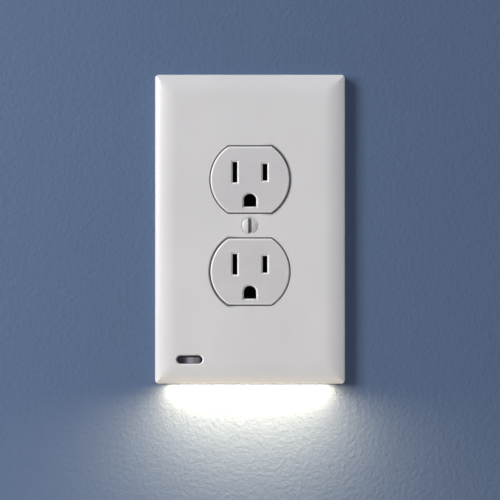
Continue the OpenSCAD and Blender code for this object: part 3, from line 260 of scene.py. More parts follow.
def platePlastic(slot, tone):
    look = plastic(slot, tone)
    x, y, z = look.axes()
    # dust that settles round the two openings and the screw
    fromMiddle = abs(z) - tone["apart"]
    ring = radius(x, fromMiddle) - tone["openRadius"]
    nearFlat = (abs(fromMiddle) - tone["openFlat"]).step(tone["openDust"], 0.0)
    nearOpening = ring.step(tone["openDust"], 0.0) * nearFlat
    nearScrew = (radius(x, z) - tone["screwRadius"]).step(tone["screwDust"], 0.0)
    grime = nearOpening.most(nearScrew) * look.noise(420.0, 4.0, 0.6).spread(0.35, 0.7, 0.15, 1.0)
    marks = look.noise(95.0, 5.0, 0.6, distortion=1.2).step(0.55, 0.74)  # left by fingers
    colour = look.mix(grime * tone["dust"], look.colour, tone["dustColour"])
    colour = look.mix(marks * tone["marks"], colour, tone["markColour"])
    # painted shade: each opening's edge is darkened at its upper right and lower left, as if the
    # gap were wider there
    gapShadeMask = (x * z.sign()).step(*tone["gapSide"]) * ring.step(*tone["gapWidth"]) * nearFlat
    colour = look.mix(gapShadeMask * tone["gapShade"], colour, tone["gapShadeColour"])
    # painted light: the lower edge is tinted warm where the light bar shines through the plate
    warm = z.step(*tone["warmFrom"])
    colour = look.mix(warm * tone["warm"], colour, tone["warmLightColour"])
    # painted highlight: the bevelled mouth of the sensor window is painted pale, brightest at its
    # right end
    along, up = x - tone["window"][0], z - tone["window"][1]
    mouth = abs(along).step(*tone["mouthWide"]) * abs(up).step(*tone["mouthTall"])
    mouth = mouth * y.step(*tone["mouthDeep"])
    colour = look.mix(mouth * tone["lip"], colour, tone["highlightColour"])
    colour = look.mix(mouth * along.step(*tone["brightFrom"]), colour, tone["brightestHighlight"])
    # painted light: the lower edge also glows, as if lit through by the light bar
    glow = (warm * warm * 0.25 + z.step(*tone["glowEdge"]) * 0.75) * abs(x).step(*tone["glowWide"])
    gloss = look.gloss + marks * tone["markRough"] + grime * tone["dustRough"]
    look.set(Base_Color=colour, Roughness=gloss.least(0.9), Coat_Weight=tone["coat"],
             Coat_Roughness=tone["coatRough"], Emission_Strength=tone["glow"],
             Emission_Color=look.mix(glow, (0, 0, 0), tone["glowColour"]))
    return look


faceFinish = {
    "dark": (0.534, 0.522, 0.534), "light": (0.574, 0.562, 0.572), "tint": (0.558, 0.544, 0.550),
    "flow": 0.3, "speckColour": (0.44, 0.43, 0.41), "specks": 0.10,
    "cloudScale": 60.0, "speckScale": 1100.0, "rubScale": 90.0, "hairStretch": (800, 800, 70),
    "grainScale": 3000.0, "grainDepth": 0.000009, "rough": 0.30, "rubbed": 0.40,
    "apart": 0.01945, "slots": (0.00635, 0.0031), "ground": -0.0086,
    "scuffWide": (0.0034, 0.0014), "scuffTall": (0.0085, 0.0045), "scuffTurn": (0.0, 0.25, 0.0),
    "scuffStretch": (1500, 900, 260), "scuffColour": (0.40, 0.395, 0.39), "scuff": 0.35,
    "scuffRough": 0.15, "scuffDepth": 0.00001,
    "sideDeep": (-0.0069, -0.0062), "sideColour": (0.36, 0.34, 0.32), "side": 0.22,
    "sideRough": 0.1,
    "slotWide": (0.0019, 0.0017), "slotTall": (0.0053, 0.0050), "holeWide": (0.0038, 0.0035),
    "lipFront": (-0.00727, -0.00720), "lipBack": (-0.0064, -0.0066),
    "highlightColour": (0.76, 0.75, 0.76), "lip": 0.9,
    "rim": (0.01575, 0.01625), "rimFlat": (0.01305, 0.01355), "rimBack": (-0.0067, -0.0070),
    "rimShine": 0.7,
}


def facePlastic(slot, tone):
    look = plastic(slot, tone)
    x, y, z = look.axes()
    height = z - z.sign() * tone["apart"]  # above the middle of each face
    acrossSlot, upSlot = abs(abs(x) - tone["slots"][0]), abs(height - tone["slots"][1])
    # scuffs that plug blades leave round the slots
    nearSlots = acrossSlot.step(*tone["scuffWide"]) * upSlot.step(*tone["scuffTall"])
    strokes = look.noise(1.0, 3.0, 0.6, look.stretched(tone["scuffStretch"], tone["scuffTurn"]))
    scuff = nearSlots * strokes.step(0.60, 0.72)
    # darker in the slots and on the sides of the raised faces, behind their front
    side = y.step(*tone["sideDeep"]) * look.noise(300.0, 3.0).spread(0.3, 0.7, 0.4, 1.0)
    # painted highlight: bevels of the slots, of the ground holes and of the rim are painted pale
    slots = acrossSlot.step(*tone["slotWide"]) * upSlot.step(*tone["slotTall"])
    mouths = slots.most(radius(x, height - tone["ground"]).step(*tone["holeWide"]))
    bevelHighlights = mouths * y.step(*tone["lipFront"]) * y.step(*tone["lipBack"])
    rim = radius(x, height).step(*tone["rim"]).most(abs(height).step(*tone["rimFlat"]))
    rim = rim * y.step(*tone["rimBack"]) * tone["rimShine"]
    colour = look.mix(side * tone["side"], look.colour, tone["sideColour"])
    colour = look.mix((bevelHighlights * tone["lip"]).most(rim), colour, tone["highlightColour"])
    colour = look.mix(scuff * tone["scuff"], colour, tone["scuffColour"])
    gloss = look.gloss + scuff * tone["scuffRough"] + side * tone["sideRough"]
    look.set(Base_Color=colour, Roughness=gloss.least(0.9),
             Normal=look.bump(scuff, tone["scuffDepth"], 0.5, look.skin))
    return look


bodyFinish = {
    "dark": (0.028, 0.027, 0.030), "light": (0.046, 0.045, 0.049), "tint": (0.052, 0.050, 0.050),
    "flow": 0.4, "speckColour": (0.14, 0.13, 0.12), "specks": 0.5,
    "cloudScale": 70.0, "speckScale": 1400.0, "rubScale": 60.0, "hairStretch": (600, 600, 60),
    "grainScale": 1500.0, "grainDepth": 0.00003, "rough": 0.52, "rubbed": 0.66,
    "side": (0.0160, 0.0166), "end": (0.0347, 0.0353), "back": (0.0220, 0.0228),
    "wornColour": (0.17, 0.16, 0.15), "worn": 0.4,
    "parting": 0.0165, "partingWidth": (0.00012, 0.00004), "partingDepth": 0.00004,
}


def bodyThermoset(slot, tone):
    look = plastic(slot, tone)
    x, y, z = look.axes()
    # pale filler at the moulded edges, and a witness line where the mould parted
    side, end, back = abs(x).step(*tone["side"]), abs(z).step(*tone["end"]), y.step(*tone["back"])
    edge = (side * end).most(side * back).most(end * back)
    worn = edge * look.noise(500.0, 4.0).step(0.5, 0.66)
    parting = abs(y - tone["parting"]).step(*tone["partingWidth"])
    look.set(Base_Color=look.mix(worn * tone["worn"], look.colour, tone["wornColour"]),
             Normal=look.bump(parting, tone["partingDepth"], 0.8, look.skin))
    return look


coverFinish = {
    "dark": (0.56, 0.555, 0.54), "light": (0.62, 0.615, 0.60), "tint": (0.60, 0.585, 0.55),
    "flow": 0.4, "speckColour": (0.42, 0.40, 0.37), "specks": 0.15,
    "cloudScale": 40.0, "speckScale": 900.0, "rubScale": 50.0, "hairStretch": (650, 650, 50),
    "grainScale": 1300.0, "grainDepth": 0.00002, "rough": 0.5, "rubbed": 0.62,
    "pinScale": 62.0, "pinRing": 0.16, "pinWidth": 0.03, "pinDepth": 0.00003,
}


# the back panel, with ring marks of the ejector pins
def coverPlastic(slot, tone):
    look = plastic(slot, tone)
    cell = look.cells(tone["pinScale"], look.stretched((1, 0, 1)), randomness=0.35)
    ring = abs(cell - tone["pinRing"]).step(tone["pinWidth"], 0.0)
    look.set(Normal=look.bump(ring, tone["pinDepth"], 0.6, look.skin))
    return look


armFinish = {
    "dark": (0.55, 0.545, 0.50), "light": (0.62, 0.61, 0.565), "tint": (0.58, 0.56, 0.49),
    "flow": 0.6, "speckColour": (0.72, 0.71, 0.68), "specks": 0.3,
    "cloudScale": 120.0, "speckScale": 1600.0, "rubScale": 120.0, "hairStretch": (900, 900, 90),
    "grainScale": 1800.0, "grainDepth": 0.000015, "rough": 0.42, "rubbed": 0.56,
}
knobFinish = {
    "dark": (0.020, 0.020, 0.021), "light": (0.036, 0.036, 0.038), "tint": (0.04, 0.038, 0.036),
    "flow": 0.3, "speckColour": (0.10, 0.10, 0.10), "specks": 0.3,
    "cloudScale": 300.0, "speckScale": 2500.0, "rubScale": 300.0, "hairStretch": (1500, 1500, 150),
    "grainScale": 3500.0, "grainDepth": 0.00001, "rough": 0.40, "rubbed": 0.55,
}
ledFinish = dict(armFinish, dark=(0.66, 0.655, 0.64), light=(0.74, 0.735, 0.72),
                 tint=(0.68, 0.665, 0.63), cloudScale=600.0)

# insulated wires: the bare ends lie above one height and below another
bareEnds = {
    "above": (-0.01632, -0.01628), "below": (-0.05418, -0.05422), "rough": 0.34,
    "dark": (0.55, 0.55, 0.54), "light": (0.72, 0.72, 0.70), "scale": 900.0,
}
blackWireFinish = dict(knobFinish, rough=0.34, rubbed=0.44, cloudScale=150.0)
whiteWireFinish = dict(armFinish, dark=(0.58, 0.575, 0.56), light=(0.64, 0.635, 0.62),
                       tint=(0.60, 0.585, 0.55))


def wireCoat(slot, tone):
    look = plastic(slot, tone)
    z = look.axis(2)
    bare = z.step(*bareEnds["above"]).most(z.step(*bareEnds["below"]))
    patches = look.noise(bareEnds["scale"]).step(0.3, 0.7)
    tinned = look.mix(patches, bareEnds["dark"], bareEnds["light"])
    look.set(Base_Color=look.mix(bare, look.colour, tinned), Metallic=bare,
             Roughness=look.gloss * (1.0 - bare) + bare * bareEnds["rough"])
    return look


# the board's parts: their tinned ends lie beyond a distance from their middle, along one axis
solder = {"dark": (0.52, 0.52, 0.51), "light": (0.76, 0.76, 0.74), "scale": 1500.0, "rough": 0.3}
chipFinish = dict(knobFinish, rough=0.62, rubbed=0.7, grainScale=5000.0, specks=0.5,
                  along=2, middle=-0.058, ends=(0.00193, 0.00197))
resistorFinish = dict(chipFinish, rough=0.35, ends=(0.00105, 0.00112))
capacitorFinish = dict(armFinish, dark=(0.36, 0.235, 0.13), light=(0.44, 0.30, 0.18),
                       tint=(0.40, 0.26, 0.15), cloudScale=500.0,
                       along=2, middle=-0.058, ends=(0.00105, 0.00112))
fuseFinish = dict(armFinish, dark=(0.50, 0.46, 0.38), light=(0.56, 0.52, 0.44),
                  tint=(0.52, 0.47, 0.38), cloudScale=400.0,
                  along=0, middle=0.02536, ends=(0.00205, 0.0022))


def tinnedEnds(slot, tone):
    look = plastic(slot, tone)
    end = abs(look.axis(tone["along"]) - tone["middle"]).step(*tone["ends"])
    tin = look.mix(look.noise(solder["scale"]).step(0.3, 0.7), solder["dark"], solder["light"])
    gloss = look.gloss * (1.0 - end) + end * solder["rough"]
    look.set(Base_Color=look.mix(end, look.colour, tin), Metallic=end, Roughness=gloss.least(0.9))
    return look


strapFinish = {
    "bright": (0.62, 0.63, 0.64), "dull": (0.46, 0.47, 0.49), "stain": (0.58, 0.58, 0.57),
    "spots": 0.5, "lay": (40, 400, 900), "cloudScale": 55.0, "spotScale": 240.0,
    "rough": 0.38, "worn": 0.52, "layRough": 0.16, "layDepth": 0.000008,
    "crystalScale": 230.0, "crystalColour": (0.74, 0.75, 0.77), "crystals": 0.5,
    "crystalRough": 0.12,
}


# zinc-coated sheet: crystals of the coating, each of its own brightness
def galvanisedSteel(slot, tone):
    look = metal(slot, tone)
    crystal = look.node("ShaderNodeSeparateColor", {},
                        look.cells(tone["crystalScale"], output="Color"))
    gloss = look.gloss + (crystal - 0.5) * tone["crystalRough"]
    look.set(Base_Color=look.mix(crystal.step(0.1, 0.9) * tone["crystals"], look.colour,
                                 tone["crystalColour"]),
             Roughness=gloss.most(0.15).least(0.85))
    return look


zincFinish = {
    "bright": (0.66, 0.66, 0.65), "dull": (0.50, 0.50, 0.48), "stain": (0.40, 0.37, 0.32),
    "spots": 0.4, "lay": (500, 120, 500), "cloudScale": 160.0, "spotScale": 500.0,
    "rough": 0.24, "worn": 0.40, "layRough": 0.14, "layDepth": 0.000006,
}
brassFinish = {
    "bright": (0.78, 0.58, 0.27), "dull": (0.60, 0.42, 0.18), "stain": (0.30, 0.19, 0.09),
    "spots": 0.45, "lay": (60, 500, 900), "cloudScale": 120.0, "spotScale": 420.0,
    "rough": 0.22, "worn": 0.42, "layRough": 0.16, "layDepth": 0.000006,
}
greenFinish = {
    "bright": (0.035, 0.22, 0.085), "dull": (0.02, 0.13, 0.05), "stain": (0.42, 0.42, 0.38),
    "spots": 0.5, "lay": (120, 500, 500), "cloudScale": 150.0, "spotScale": 600.0,
    "rough": 0.28, "worn": 0.42, "layRough": 0.12, "layDepth": 0.000006,
}
platedFinish = dict(brassFinish, bright=(0.70, 0.68, 0.63), dull=(0.54, 0.52, 0.47),
                    stain=(0.34, 0.30, 0.24))
screwBrassFinish = dict(zincFinish, bright=(0.80, 0.60, 0.28), dull=(0.62, 0.44, 0.19),
                        stain=(0.32, 0.20, 0.09))
springFinish = dict(brassFinish, bright=(0.78, 0.56, 0.36), dull=(0.58, 0.38, 0.22),
                    stain=(0.30, 0.17, 0.10), rough=0.18, worn=0.34)
tinFinish = dict(zincFinish, bright=(0.70, 0.70, 0.69), dull=(0.55, 0.55, 0.54))

insideShade = {"colour": (0.016, 0.014, 0.012), "spotColour": (0.0288, 0.0252, 0.0216),
        "inside": (0.0150, 0.0145), "rough": 0.75, "cover": 0.8}


# painted shade: the strip is darkened between the sockets' walls, where shade falls inside the
# body, and is bright only outside it
def contactMetal(slot, tone):
    look = metal(slot, tone)
    dark = abs(look.axis(0)).step(*insideShade["inside"])
    insideShadeColour = look.mix(look.spot, insideShade["colour"], insideShade["spotColour"])
    look.set(Base_Color=look.mix(dark, look.colour, insideShadeColour), Metallic=1.0 - dark * insideShade["cover"],
             Roughness=look.gloss * (1.0 - dark) + dark * insideShade["rough"])
    return look


# painted shade in the threads of the two screws that go into the wall box: its depth in the groove,
# and where it starts and ends along the screw
grooveShade = {"up": 0.04165, "groove": (0.00166, 0.00150), "starts": (0.0006, 0.0010),
              "ends": (0.0233, 0.0229), "colour": (0.10, 0.095, 0.088), "amount": 0.8, "rough": 0.3}


def zincSteel(slot, tone):
    look = metal(slot, tone)
    x, y, z = look.axes()
    # painted shade in the grooves of the thread
    dirt = radius(x, abs(z) - grooveShade["up"]).step(*grooveShade["groove"])
    dirt = dirt * y.step(*grooveShade["starts"]) * y.step(*grooveShade["ends"]) * grooveShade["amount"]
    look.set(Base_Color=look.mix(dirt, look.colour, grooveShade["colour"]),
             Roughness=look.gloss + dirt * grooveShade["rough"])
    return look


paintFinish = {
    "dark": (0.552, 0.542, 0.542), "light": (0.605, 0.594, 0.594), "tint": (0.58, 0.566, 0.557),
    "flow": 0.3, "speckColour": (0.45, 0.43, 0.40), "specks": 0.2,
    "cloudScale": 260.0, "speckScale": 2200.0, "rubScale": 260.0, "hairStretch": (1600, 1600, 300),
    "grainScale": 2400.0, "grainDepth": 0.00001, "rough": 0.28, "rubbed": 0.42,
    "lipAt": 0.00081, "lipWidth": (0.00016, 0.00004), "lipFront": (-0.0066, -0.0070),
    "slotWide": (0.00077, 0.00072), "slotDeep": (-0.0075, -0.0069),
    "slotShadeColour": (0.11, 0.107, 0.104), "slotShade": 0.85,
    "shank": (-0.0052, -0.0050), "zincDark": (0.48, 0.48, 0.47), "zincLight": (0.66, 0.66, 0.65),
    "zincRough": 0.32, "groove": (0.00162, 0.00146), "starts": (-0.0046, -0.0042),
    "ends": (0.0050, 0.0046), "dirt": 0.75,
}


# painted head, chipped to the steel along the slot, on a bare zinc-plated shank
def paintedScrew(slot, tone):
    look = plastic(slot, tone)
    x, y, z = look.axes()
    lip = abs(abs(x) - tone["lipAt"]).step(*tone["lipWidth"])
    chips = lip * look.noise(1900.0, 4.0, 0.7).step(0.56, 0.64) * y.step(*tone["lipFront"])
    bare = chips.most(y.step(*tone["shank"]))
    zinc = look.mix(look.noise(700.0).step(0.3, 0.7), tone["zincDark"], tone["zincLight"])
    # painted shade in the grooves of the shank's thread
    groove = radius(x, z).step(*tone["groove"]) * y.step(*tone["starts"]) * y.step(*tone["ends"])
    zinc = look.mix(groove * tone["dirt"], zinc, grooveShade["colour"])
    # painted shade in the slot
    inSlot = abs(x).step(*tone["slotWide"]) * y.step(*tone["slotDeep"])
    colour = look.mix(inSlot * tone["slotShade"], look.colour, tone["slotShadeColour"])
    gloss = look.gloss * (1.0 - bare) + bare * tone["zincRough"]
    look.set(Base_Color=look.mix(bare, colour, zinc), Metallic=bare, Roughness=gloss.least(0.9))
    return look


lensFinish = {
    "dark": (0.012, 0.011, 0.013), "light": (0.022, 0.020, 0.025), "tint": (0.018, 0.017, 0.021),
    "flow": 0.3, "speckColour": (0.2, 0.19, 0.22), "specks": 0.1,
    "cloudScale": 120.0, "speckScale": 2000.0, "rubScale": 150.0, "hairStretch": (1200, 1200, 160),
    "grainScale": 2400.0, "grainDepth": 0.000003, "rough": 0.12, "rubbed": 0.22,
    "centre": (-0.0255, -0.0566), "clear": 0.72,
    "hazeColour": (0.205, 0.200, 0.222), "hazeLeft": (-0.0030, 0.0006),
    "hazeRight": (0.0050, 0.0030),
    "sheenColour": (0.350, 0.325, 0.415), "sheenAt": 0.0004, "sheenWidth": (0.0021, 0.0002),
    "shadowColour": (0.008, 0.007, 0.009), "shadowUp": (0.0006, 0.0013),
    "shadowEnds": (0.0042, 0.0052),
}


# smoky window: paler and partly clear over the sensor, with a painted sheen over it, and painted
# shadow at its ends and under its upper edge
def smokyLens(slot, tone):
    look = plastic(slot, tone)
    along, up = look.axis(0) - tone["centre"][0], look.axis(2) - tone["centre"][1]
    haze = along.step(*tone["hazeLeft"]) * along.step(*tone["hazeRight"])
    sheen = abs(along - tone["sheenAt"]).step(*tone["sheenWidth"])
    shaded = up.step(*tone["shadowUp"]).most(abs(along).step(*tone["shadowEnds"]))
    colour = look.mix(haze, look.colour, tone["hazeColour"])
    colour = look.mix(sheen, colour, tone["sheenColour"])
    look.set(Base_Color=look.mix(shaded, colour, tone["shadowColour"]),
             Alpha=1.0 - haze * (1.0 - tone["clear"]))
    return look


barFinish = {
    "dark": (0.74, 0.71, 0.64), "light": (0.82, 0.79, 0.72), "tint": (0.80, 0.76, 0.66),
    "flow": 0.3, "speckColour": (0.9, 0.88, 0.82), "specks": 0.2,
    "cloudScale": 160.0, "speckScale": 1500.0, "rubScale": 150.0, "hairStretch": (300, 900, 900),
    "grainScale": 1500.0, "grainDepth": 0.00002, "rough": 0.42, "rubbed": 0.55,
    "pitch": 0.011, "ripple": -0.18, "level": 0.82, "lower": (-0.06640, -0.06655),
    "glowColour": (1.0, 0.97, 0.88), "strength": 8.0,
}


# frosted bar, lit from behind: brighter before each diode, and dark inside the plate
def diffuser(slot, tone):
    look = plastic(slot, tone)
    wave = (look.axis(0) * (fullTurn / tone["pitch"])).sine() * tone["ripple"] + tone["level"]
    lit = look.axis(2).step(*tone["lower"]) * wave
    look.set(Emission_Color=look.mix(lit, (0, 0, 0), tone["glowColour"]),
             Emission_Strength=tone["strength"])
    return look


phosphorFinish = dict(armFinish, dark=(0.78, 0.55, 0.10), light=(0.88, 0.66, 0.18),
                      tint=(0.80, 0.58, 0.14), dimColour=(0.9, 0.8, 0.6),
                      glowColour=(1.0, 0.95, 0.82), strength=6.0)


def phosphor(slot, tone):
    look = plastic(slot, tone)
    clouds = look.noise(1500.0).step(0.3, 0.8)
    look.set(Emission_Color=look.mix(clouds, tone["dimColour"], tone["glowColour"]),
             Emission_Strength=tone["strength"])
    return look


sensorFinish = dict(armFinish, dark=(0.50, 0.42, 0.30), light=(0.58, 0.50, 0.37),
                    tint=(0.52, 0.44, 0.32), cloudScale=500.0, centre=(-0.0255, -0.0566),
                    pitch=0.00074, trackWide=(0.00150, 0.00135), turnAt=0.00145,
                    turnWide=(0.00014, 0.00006), turnTall=(0.0014, 0.0012),
                    front=(-0.0040, -0.0042), trackColour=(0.35, 0.12, 0.05), metallic=0.5)


# ceramic disc with a winding dark track between two metal fingers
def sensorCeramic(slot, tone):
    look = plastic(slot, tone)
    along, up = look.axis(0) - tone["centre"][0], look.axis(2) - tone["centre"][1]
    rows = abs((up * (fullTurn / tone["pitch"])).sine()).step(0.62, 0.42)
    rows = rows * abs(along).step(*tone["trackWide"])
    turns = abs(abs(along) - tone["turnAt"]).step(*tone["turnWide"])
    track = rows.most(turns * abs(up).step(*tone["turnTall"]))
    front = look.axis(1).step(*tone["front"])
    look.set(Base_Color=look.mix(track * front, look.colour, tone["trackColour"]),
             Metallic=(1.0 - track) * front * tone["metallic"])
    return look


boardFinish = {
    "dark": (0.008, 0.085, 0.030), "light": (0.012, 0.125, 0.045), "tint": (0.016, 0.15, 0.05),
    "flow": 0.2, "speckColour": (0.03, 0.2, 0.08), "specks": 0.3,
    "cloudScale": 200.0, "speckScale": 1800.0, "rubScale": 150.0, "hairStretch": (900, 900, 200),
    "grainScale": 2600.0, "grainDepth": 0.00001, "rough": 0.26, "rubbed": 0.36,
    "weave": 5200.0, "weaveDepth": 0.000004, "lanePitch": 0.0021, "bends": 0.004,
    "trackColour": (0.03, 0.24, 0.09), "tracks": 0.75, "trackDepth": 0.00003,
    "middle": -0.0591, "edgeAt": 0.0051, "edgeWidth": (0.00035, 0.0001),
    "edgeColour": (0.30, 0.28, 0.16), "edge": 0.5,
}


# solder mask over a weave of glass, with copper tracks that stand up under it
def boardLaminate(slot, tone):
    look = plastic(slot, tone)
    x, z = look.axis(0), look.axis(2)
    weave = (x * tone["weave"]).sine() * (z * tone["weave"]).sine()
    bent = z + look.noise(160.0, 1.0, 0.4) * tone["bends"]
    lanes = (bent * (fullTurn / tone["lanePitch"])).sine().step(0.55, 0.7)
    tracks = lanes * look.noise(75.0, 1.0).step(0.44, 0.5)
    edge = abs(abs(z - tone["middle"]) - tone["edgeAt"]).step(*tone["edgeWidth"])
    colour = look.mix(tracks * tone["tracks"], look.colour, tone["trackColour"])
    skin = look.bump(weave, tone["weaveDepth"], 0.4, look.skin)
    look.set(Base_Color=look.mix(edge * tone["edge"], colour, tone["edgeColour"]),
             Normal=look.bump(tracks, tone["trackDepth"], 0.8, skin))
    return look


# what makes each of the record's material slots, and its values
makers = {
    "outlet_plastic": (facePlastic, faceFinish),
    "body_thermoset": (bodyThermoset, bodyFinish),
    "galvanised_steel": (galvanisedSteel, strapFinish),
    "brass_sheet": (contactMetal, brassFinish),
    "plated_brass": (contactMetal, platedFinish),
    "zinc_steel": (zincSteel, zincFinish),
    "brass_screw": (metal, screwBrassFinish),
    "green_screw": (metal, greenFinish),
    "plate_plastic": (platePlastic, plateFinish),
    "cover_plastic": (coverPlastic, coverFinish),
    "diffuser": (diffuser, barFinish),
    "led_white": (plastic, ledFinish),
    "phosphor": (phosphor, phosphorFinish),
    "smoky_lens": (smokyLens, lensFinish),
    "sensor_ceramic": (sensorCeramic, sensorFinish),
    "board_laminate": (boardLaminate, boardFinish),
    "chip_plastic": (tinnedEnds, chipFinish),
    "fuse_ceramic": (tinnedEnds, fuseFinish),
    "capacitor_ceramic": (tinnedEnds, capacitorFinish),
    "resistor_film": (tinnedEnds, resistorFinish),
    "switch_steel": (metal, tinFinish),
    "knob_plastic": (plastic, knobFinish),
    "black_insulation": (wireCoat, blackWireFinish),
    "white_insulation": (wireCoat, whiteWireFinish),
    "arm_plastic": (plastic, armFinish),
    "spring_brass": (metal, springFinish),
    "painted_screw": (paintedScrew, paintFinish),
}
materials = {slot: make(slot, tone).material for slot, (make, tone) in makers.items()}
print("finishes ready:", len(materials))


def camel(name):
    first, *rest = name.split("_")
    return first + "".join(word.capitalize() for word in rest)


# edges of all pieces: angles in degrees below which faces join, above which an edge is rounded and
# above which it stays sharp in the shading
edgeWork = {"flat": 0.6, "steeper": 26.0, "segments": 2, "sharp": 38.0}
mergeWithin = 1e-6


# makes an object of a bmesh, in place: smooth, but sharp at steep edges
def publish(bm, name, slot, body):
    for face in bm.faces:
        face.smooth = True
    sharp = math.radians(edgeWork["sharp"])
    for edge in bm.edges:
        edge.smooth = edge.is_manifold and edge.calc_face_angle(0.0) <= sharp
    mesh = bpy.data.meshes.new(name)
    bm.to_mesh(mesh)
    bm.free()
    mesh.materials.append(materials[slot])
    piece = bpy.data.objects.new(name, mesh)
    bpy.context.scene.collection.objects.link(piece)
    normals = piece.modifiers.new("normals", "WEIGHTED_NORMAL")
    normals.mode = "FACE_AREA"
    normals.keep_sharp = True
    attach(piece, body)
    return piece


# a copy of a node's mesh with its triangles merged and its flat faces joined
def copyOf(node):
    bm = bmesh.new()
    bm.from_mesh(nodes[node].data)
    bmesh.ops.remove_doubles(bm, verts=bm.verts, dist=mergeWithin)
    bmesh.ops.dissolve_limit(bm, angle_limit=math.radians(edgeWork["flat"]), verts=bm.verts,
                             edges=bm.edges, use_dissolve_boundaries=False, delimit={"NORMAL"})
    return bm


# rounds off the steep edges
def soften(bm, width):
    steep = math.radians(edgeWork["steeper"])
    edges = [edge for edge in bm.edges if edge.is_manifold and edge.calc_face_angle(0.0) > steep]
    bmesh.ops.bevel(bm, geom=edges, offset=width * mm, offset_type="OFFSET", affect="EDGES",
                    segments=edgeWork["segments"], profile=0.5, clamp_overlap=True, material=-1)


# stands a rounded copy in for a node, with what a shape function adds to it
def dress(node, width, shape=None):
    bm = copyOf(node)
    if shape:
        shape(bm)
    if width:
        soften(bm, width)
    piece = publish(bm, camel(node), slotOf[node], bodyOf[node])
    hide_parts(node)


# the plate's outline and the soft fold at its mitres, in millimetres; frontmost and steepest are
# the limits of a border face's normal along Y
plateShape = {"half": 40.2, "top": 63.9, "bottom": -66.9, "fold": 1.6, "near": 0.06,
              "frontmost": -0.9995, "steepest": -0.2}


# whether a vertex lies on the mitre that runs inwards from a corner of the plate
def onMitre(vert, corner, normal):
    middle = (plateShape["top"] + plateShape["bottom"]) / 2 * mm
    sameQuarter = vert.co.x * corner.x > 0 and (vert.co.z - middle) * (corner.z - middle) > 0
    return sameQuarter and abs((vert.co - corner).dot(normal)) < plateShape["near"] * mm


# cuts the border's strips on both sides of each mitre, so that the mitre shades as a soft fold
def softenMitres(bm):
    for across, end in ((-1, "bottom"), (-1, "top"), (1, "bottom"), (1, "top")):
        corner = Vector((across * plateShape["half"], 0.0, plateShape[end])) * mm
        normal = Vector((across, 0.0, 1 if end == "bottom" else -1)).normalized()
        for side in (-1, 1):
            border = [face for face in bm.faces
                      if plateShape["frontmost"] < face.normal.y < plateShape["steepest"]
                      and any(onMitre(vert, corner, normal) for vert in face.verts)]
            parts = dict.fromkeys(part for face in border
                                  for part in (*face.verts, *face.edges, face))
            bmesh.ops.bisect_plane(bm, geom=list(parts), dist=mergeWithin, plane_no=normal,
                                   plane_co=corner + normal * (side * plateShape["fold"] * mm))


# screw threads, in millimetres: the shank is necked in to the root, and a closed ridge winds round
# it. Half of its foot, half of its crest and its run-out are shares of the pitch.
threadForm = {"pitch": 0.794, "steps": 22, "halfFoot": 0.42, "halfCrest": 0.084, "sunk": 0.96,
              "runOut": 0.45, "widestShank": 2.1}
coverThread = {"root": 1.38, "crest": 1.70, "shank": 1.72,
               "neck": (-5.2, 6.0), "ridge": (-4.9, 5.2)}
boxThread = {"root": 1.42, "crest": 1.73, "shank": 1.75,
             "neck": (-0.01, 24.1), "ridge": (0.7, 23.2), "up": 41.65}
groundThread = {"root": 1.55, "crest": 1.88, "shank": 1.9,
                "neck": (1.35, 6.3), "ridge": (1.6, 5.9), "at": (-16.2, 4.9, -39.7)}
intoWall = Matrix.Rotation(-math.pi / 2, 4, "X")
towardsRight = Matrix.Rotation(math.pi / 2, 4, "Y")


# a screw's own frame, with its axis along local Z
def screwFrame(x, y, z, turn):
    return Matrix.Translation((x * mm, y * mm, z * mm)) @ turn


# draws in the part of a shank that the thread goes on
def neck(bm, place, thread):
    low, high = thread["neck"]
    share = thread["root"] / thread["shank"]
    widest = threadForm["widestShank"] * mm
    back = place.inverted()
    shank = []
    for vert in bm.verts:
        local = back @ vert.co
        if math.hypot(local.x, local.y) < widest and low * mm <= local.z <= high * mm:
            shank.append(vert)
    bmesh.ops.scale(bm, vec=(share, share, 1.0), space=back, verts=shank)


# winds the ridge along local Z, then puts it in its place
def wind(bm, place, thread):
    start, end = thread["ridge"]
    pitch, steps = threadForm["pitch"], threadForm["steps"]
    root = thread["root"] * threadForm["sunk"]
    foot, top = pitch * threadForm["halfFoot"], pitch * threadForm["halfCrest"]
    profile = [(root, -foot), (thread["crest"], -top), (thread["crest"], top), (root, foot)]
    before = set(bm.verts)
    ring = [bm.verts.new((out * mm, 0.0, (start + along) * mm)) for out, along in profile]
    edges = bm.faces.new(ring).edges
    count = int((end - start) / pitch * steps)
    spun = bmesh.ops.spin(bm, geom=[*ring, *edges], cent=(0, 0, 0), axis=(0, 0, 1), steps=count,
                          dvec=(0, 0, pitch * mm / steps), angle=fullTurn * count / steps)
    last = [item for item in spun["geom_last"] if isinstance(item, bmesh.types.BMEdge)]
    bmesh.ops.edgeloop_fill(bm, edges=last)
    ridge = [vert for vert in bm.verts if vert not in before]
    # the ridge sinks into the shank at both of its ends
    for vert in ridge:
        out = math.hypot(vert.co.x, vert.co.y)
        along = vert.co.z / mm
        height = min(along - start, end - along) / pitch + threadForm["runOut"]
        wanted = root * mm + (out - root * mm) * max(0.0, min(1.0, height))
        vert.co.x, vert.co.y = vert.co.x * wanted / out, vert.co.y * wanted / out
    faces = dict.fromkeys(face for vert in ridge for face in vert.link_faces)
    bmesh.ops.recalc_face_normals(bm, faces=list(faces))
    bmesh.ops.transform(bm, matrix=place, verts=ridge)


def addThread(bm, place, thread):
    neck(bm, place, thread)
    wind(bm, place, thread)


def threadCoverScrew(bm):
    addThread(bm, screwFrame(0, 0, 0, intoWall), coverThread)


def threadBoxScrews(bm):
    for end in (-1, 1):
        addThread(bm, screwFrame(0, 0, end * boxThread["up"], intoWall), boxThread)


def threadGroundScrew(bm):
    addThread(bm, screwFrame(*groundThread["at"], towardsRight), groundThread)


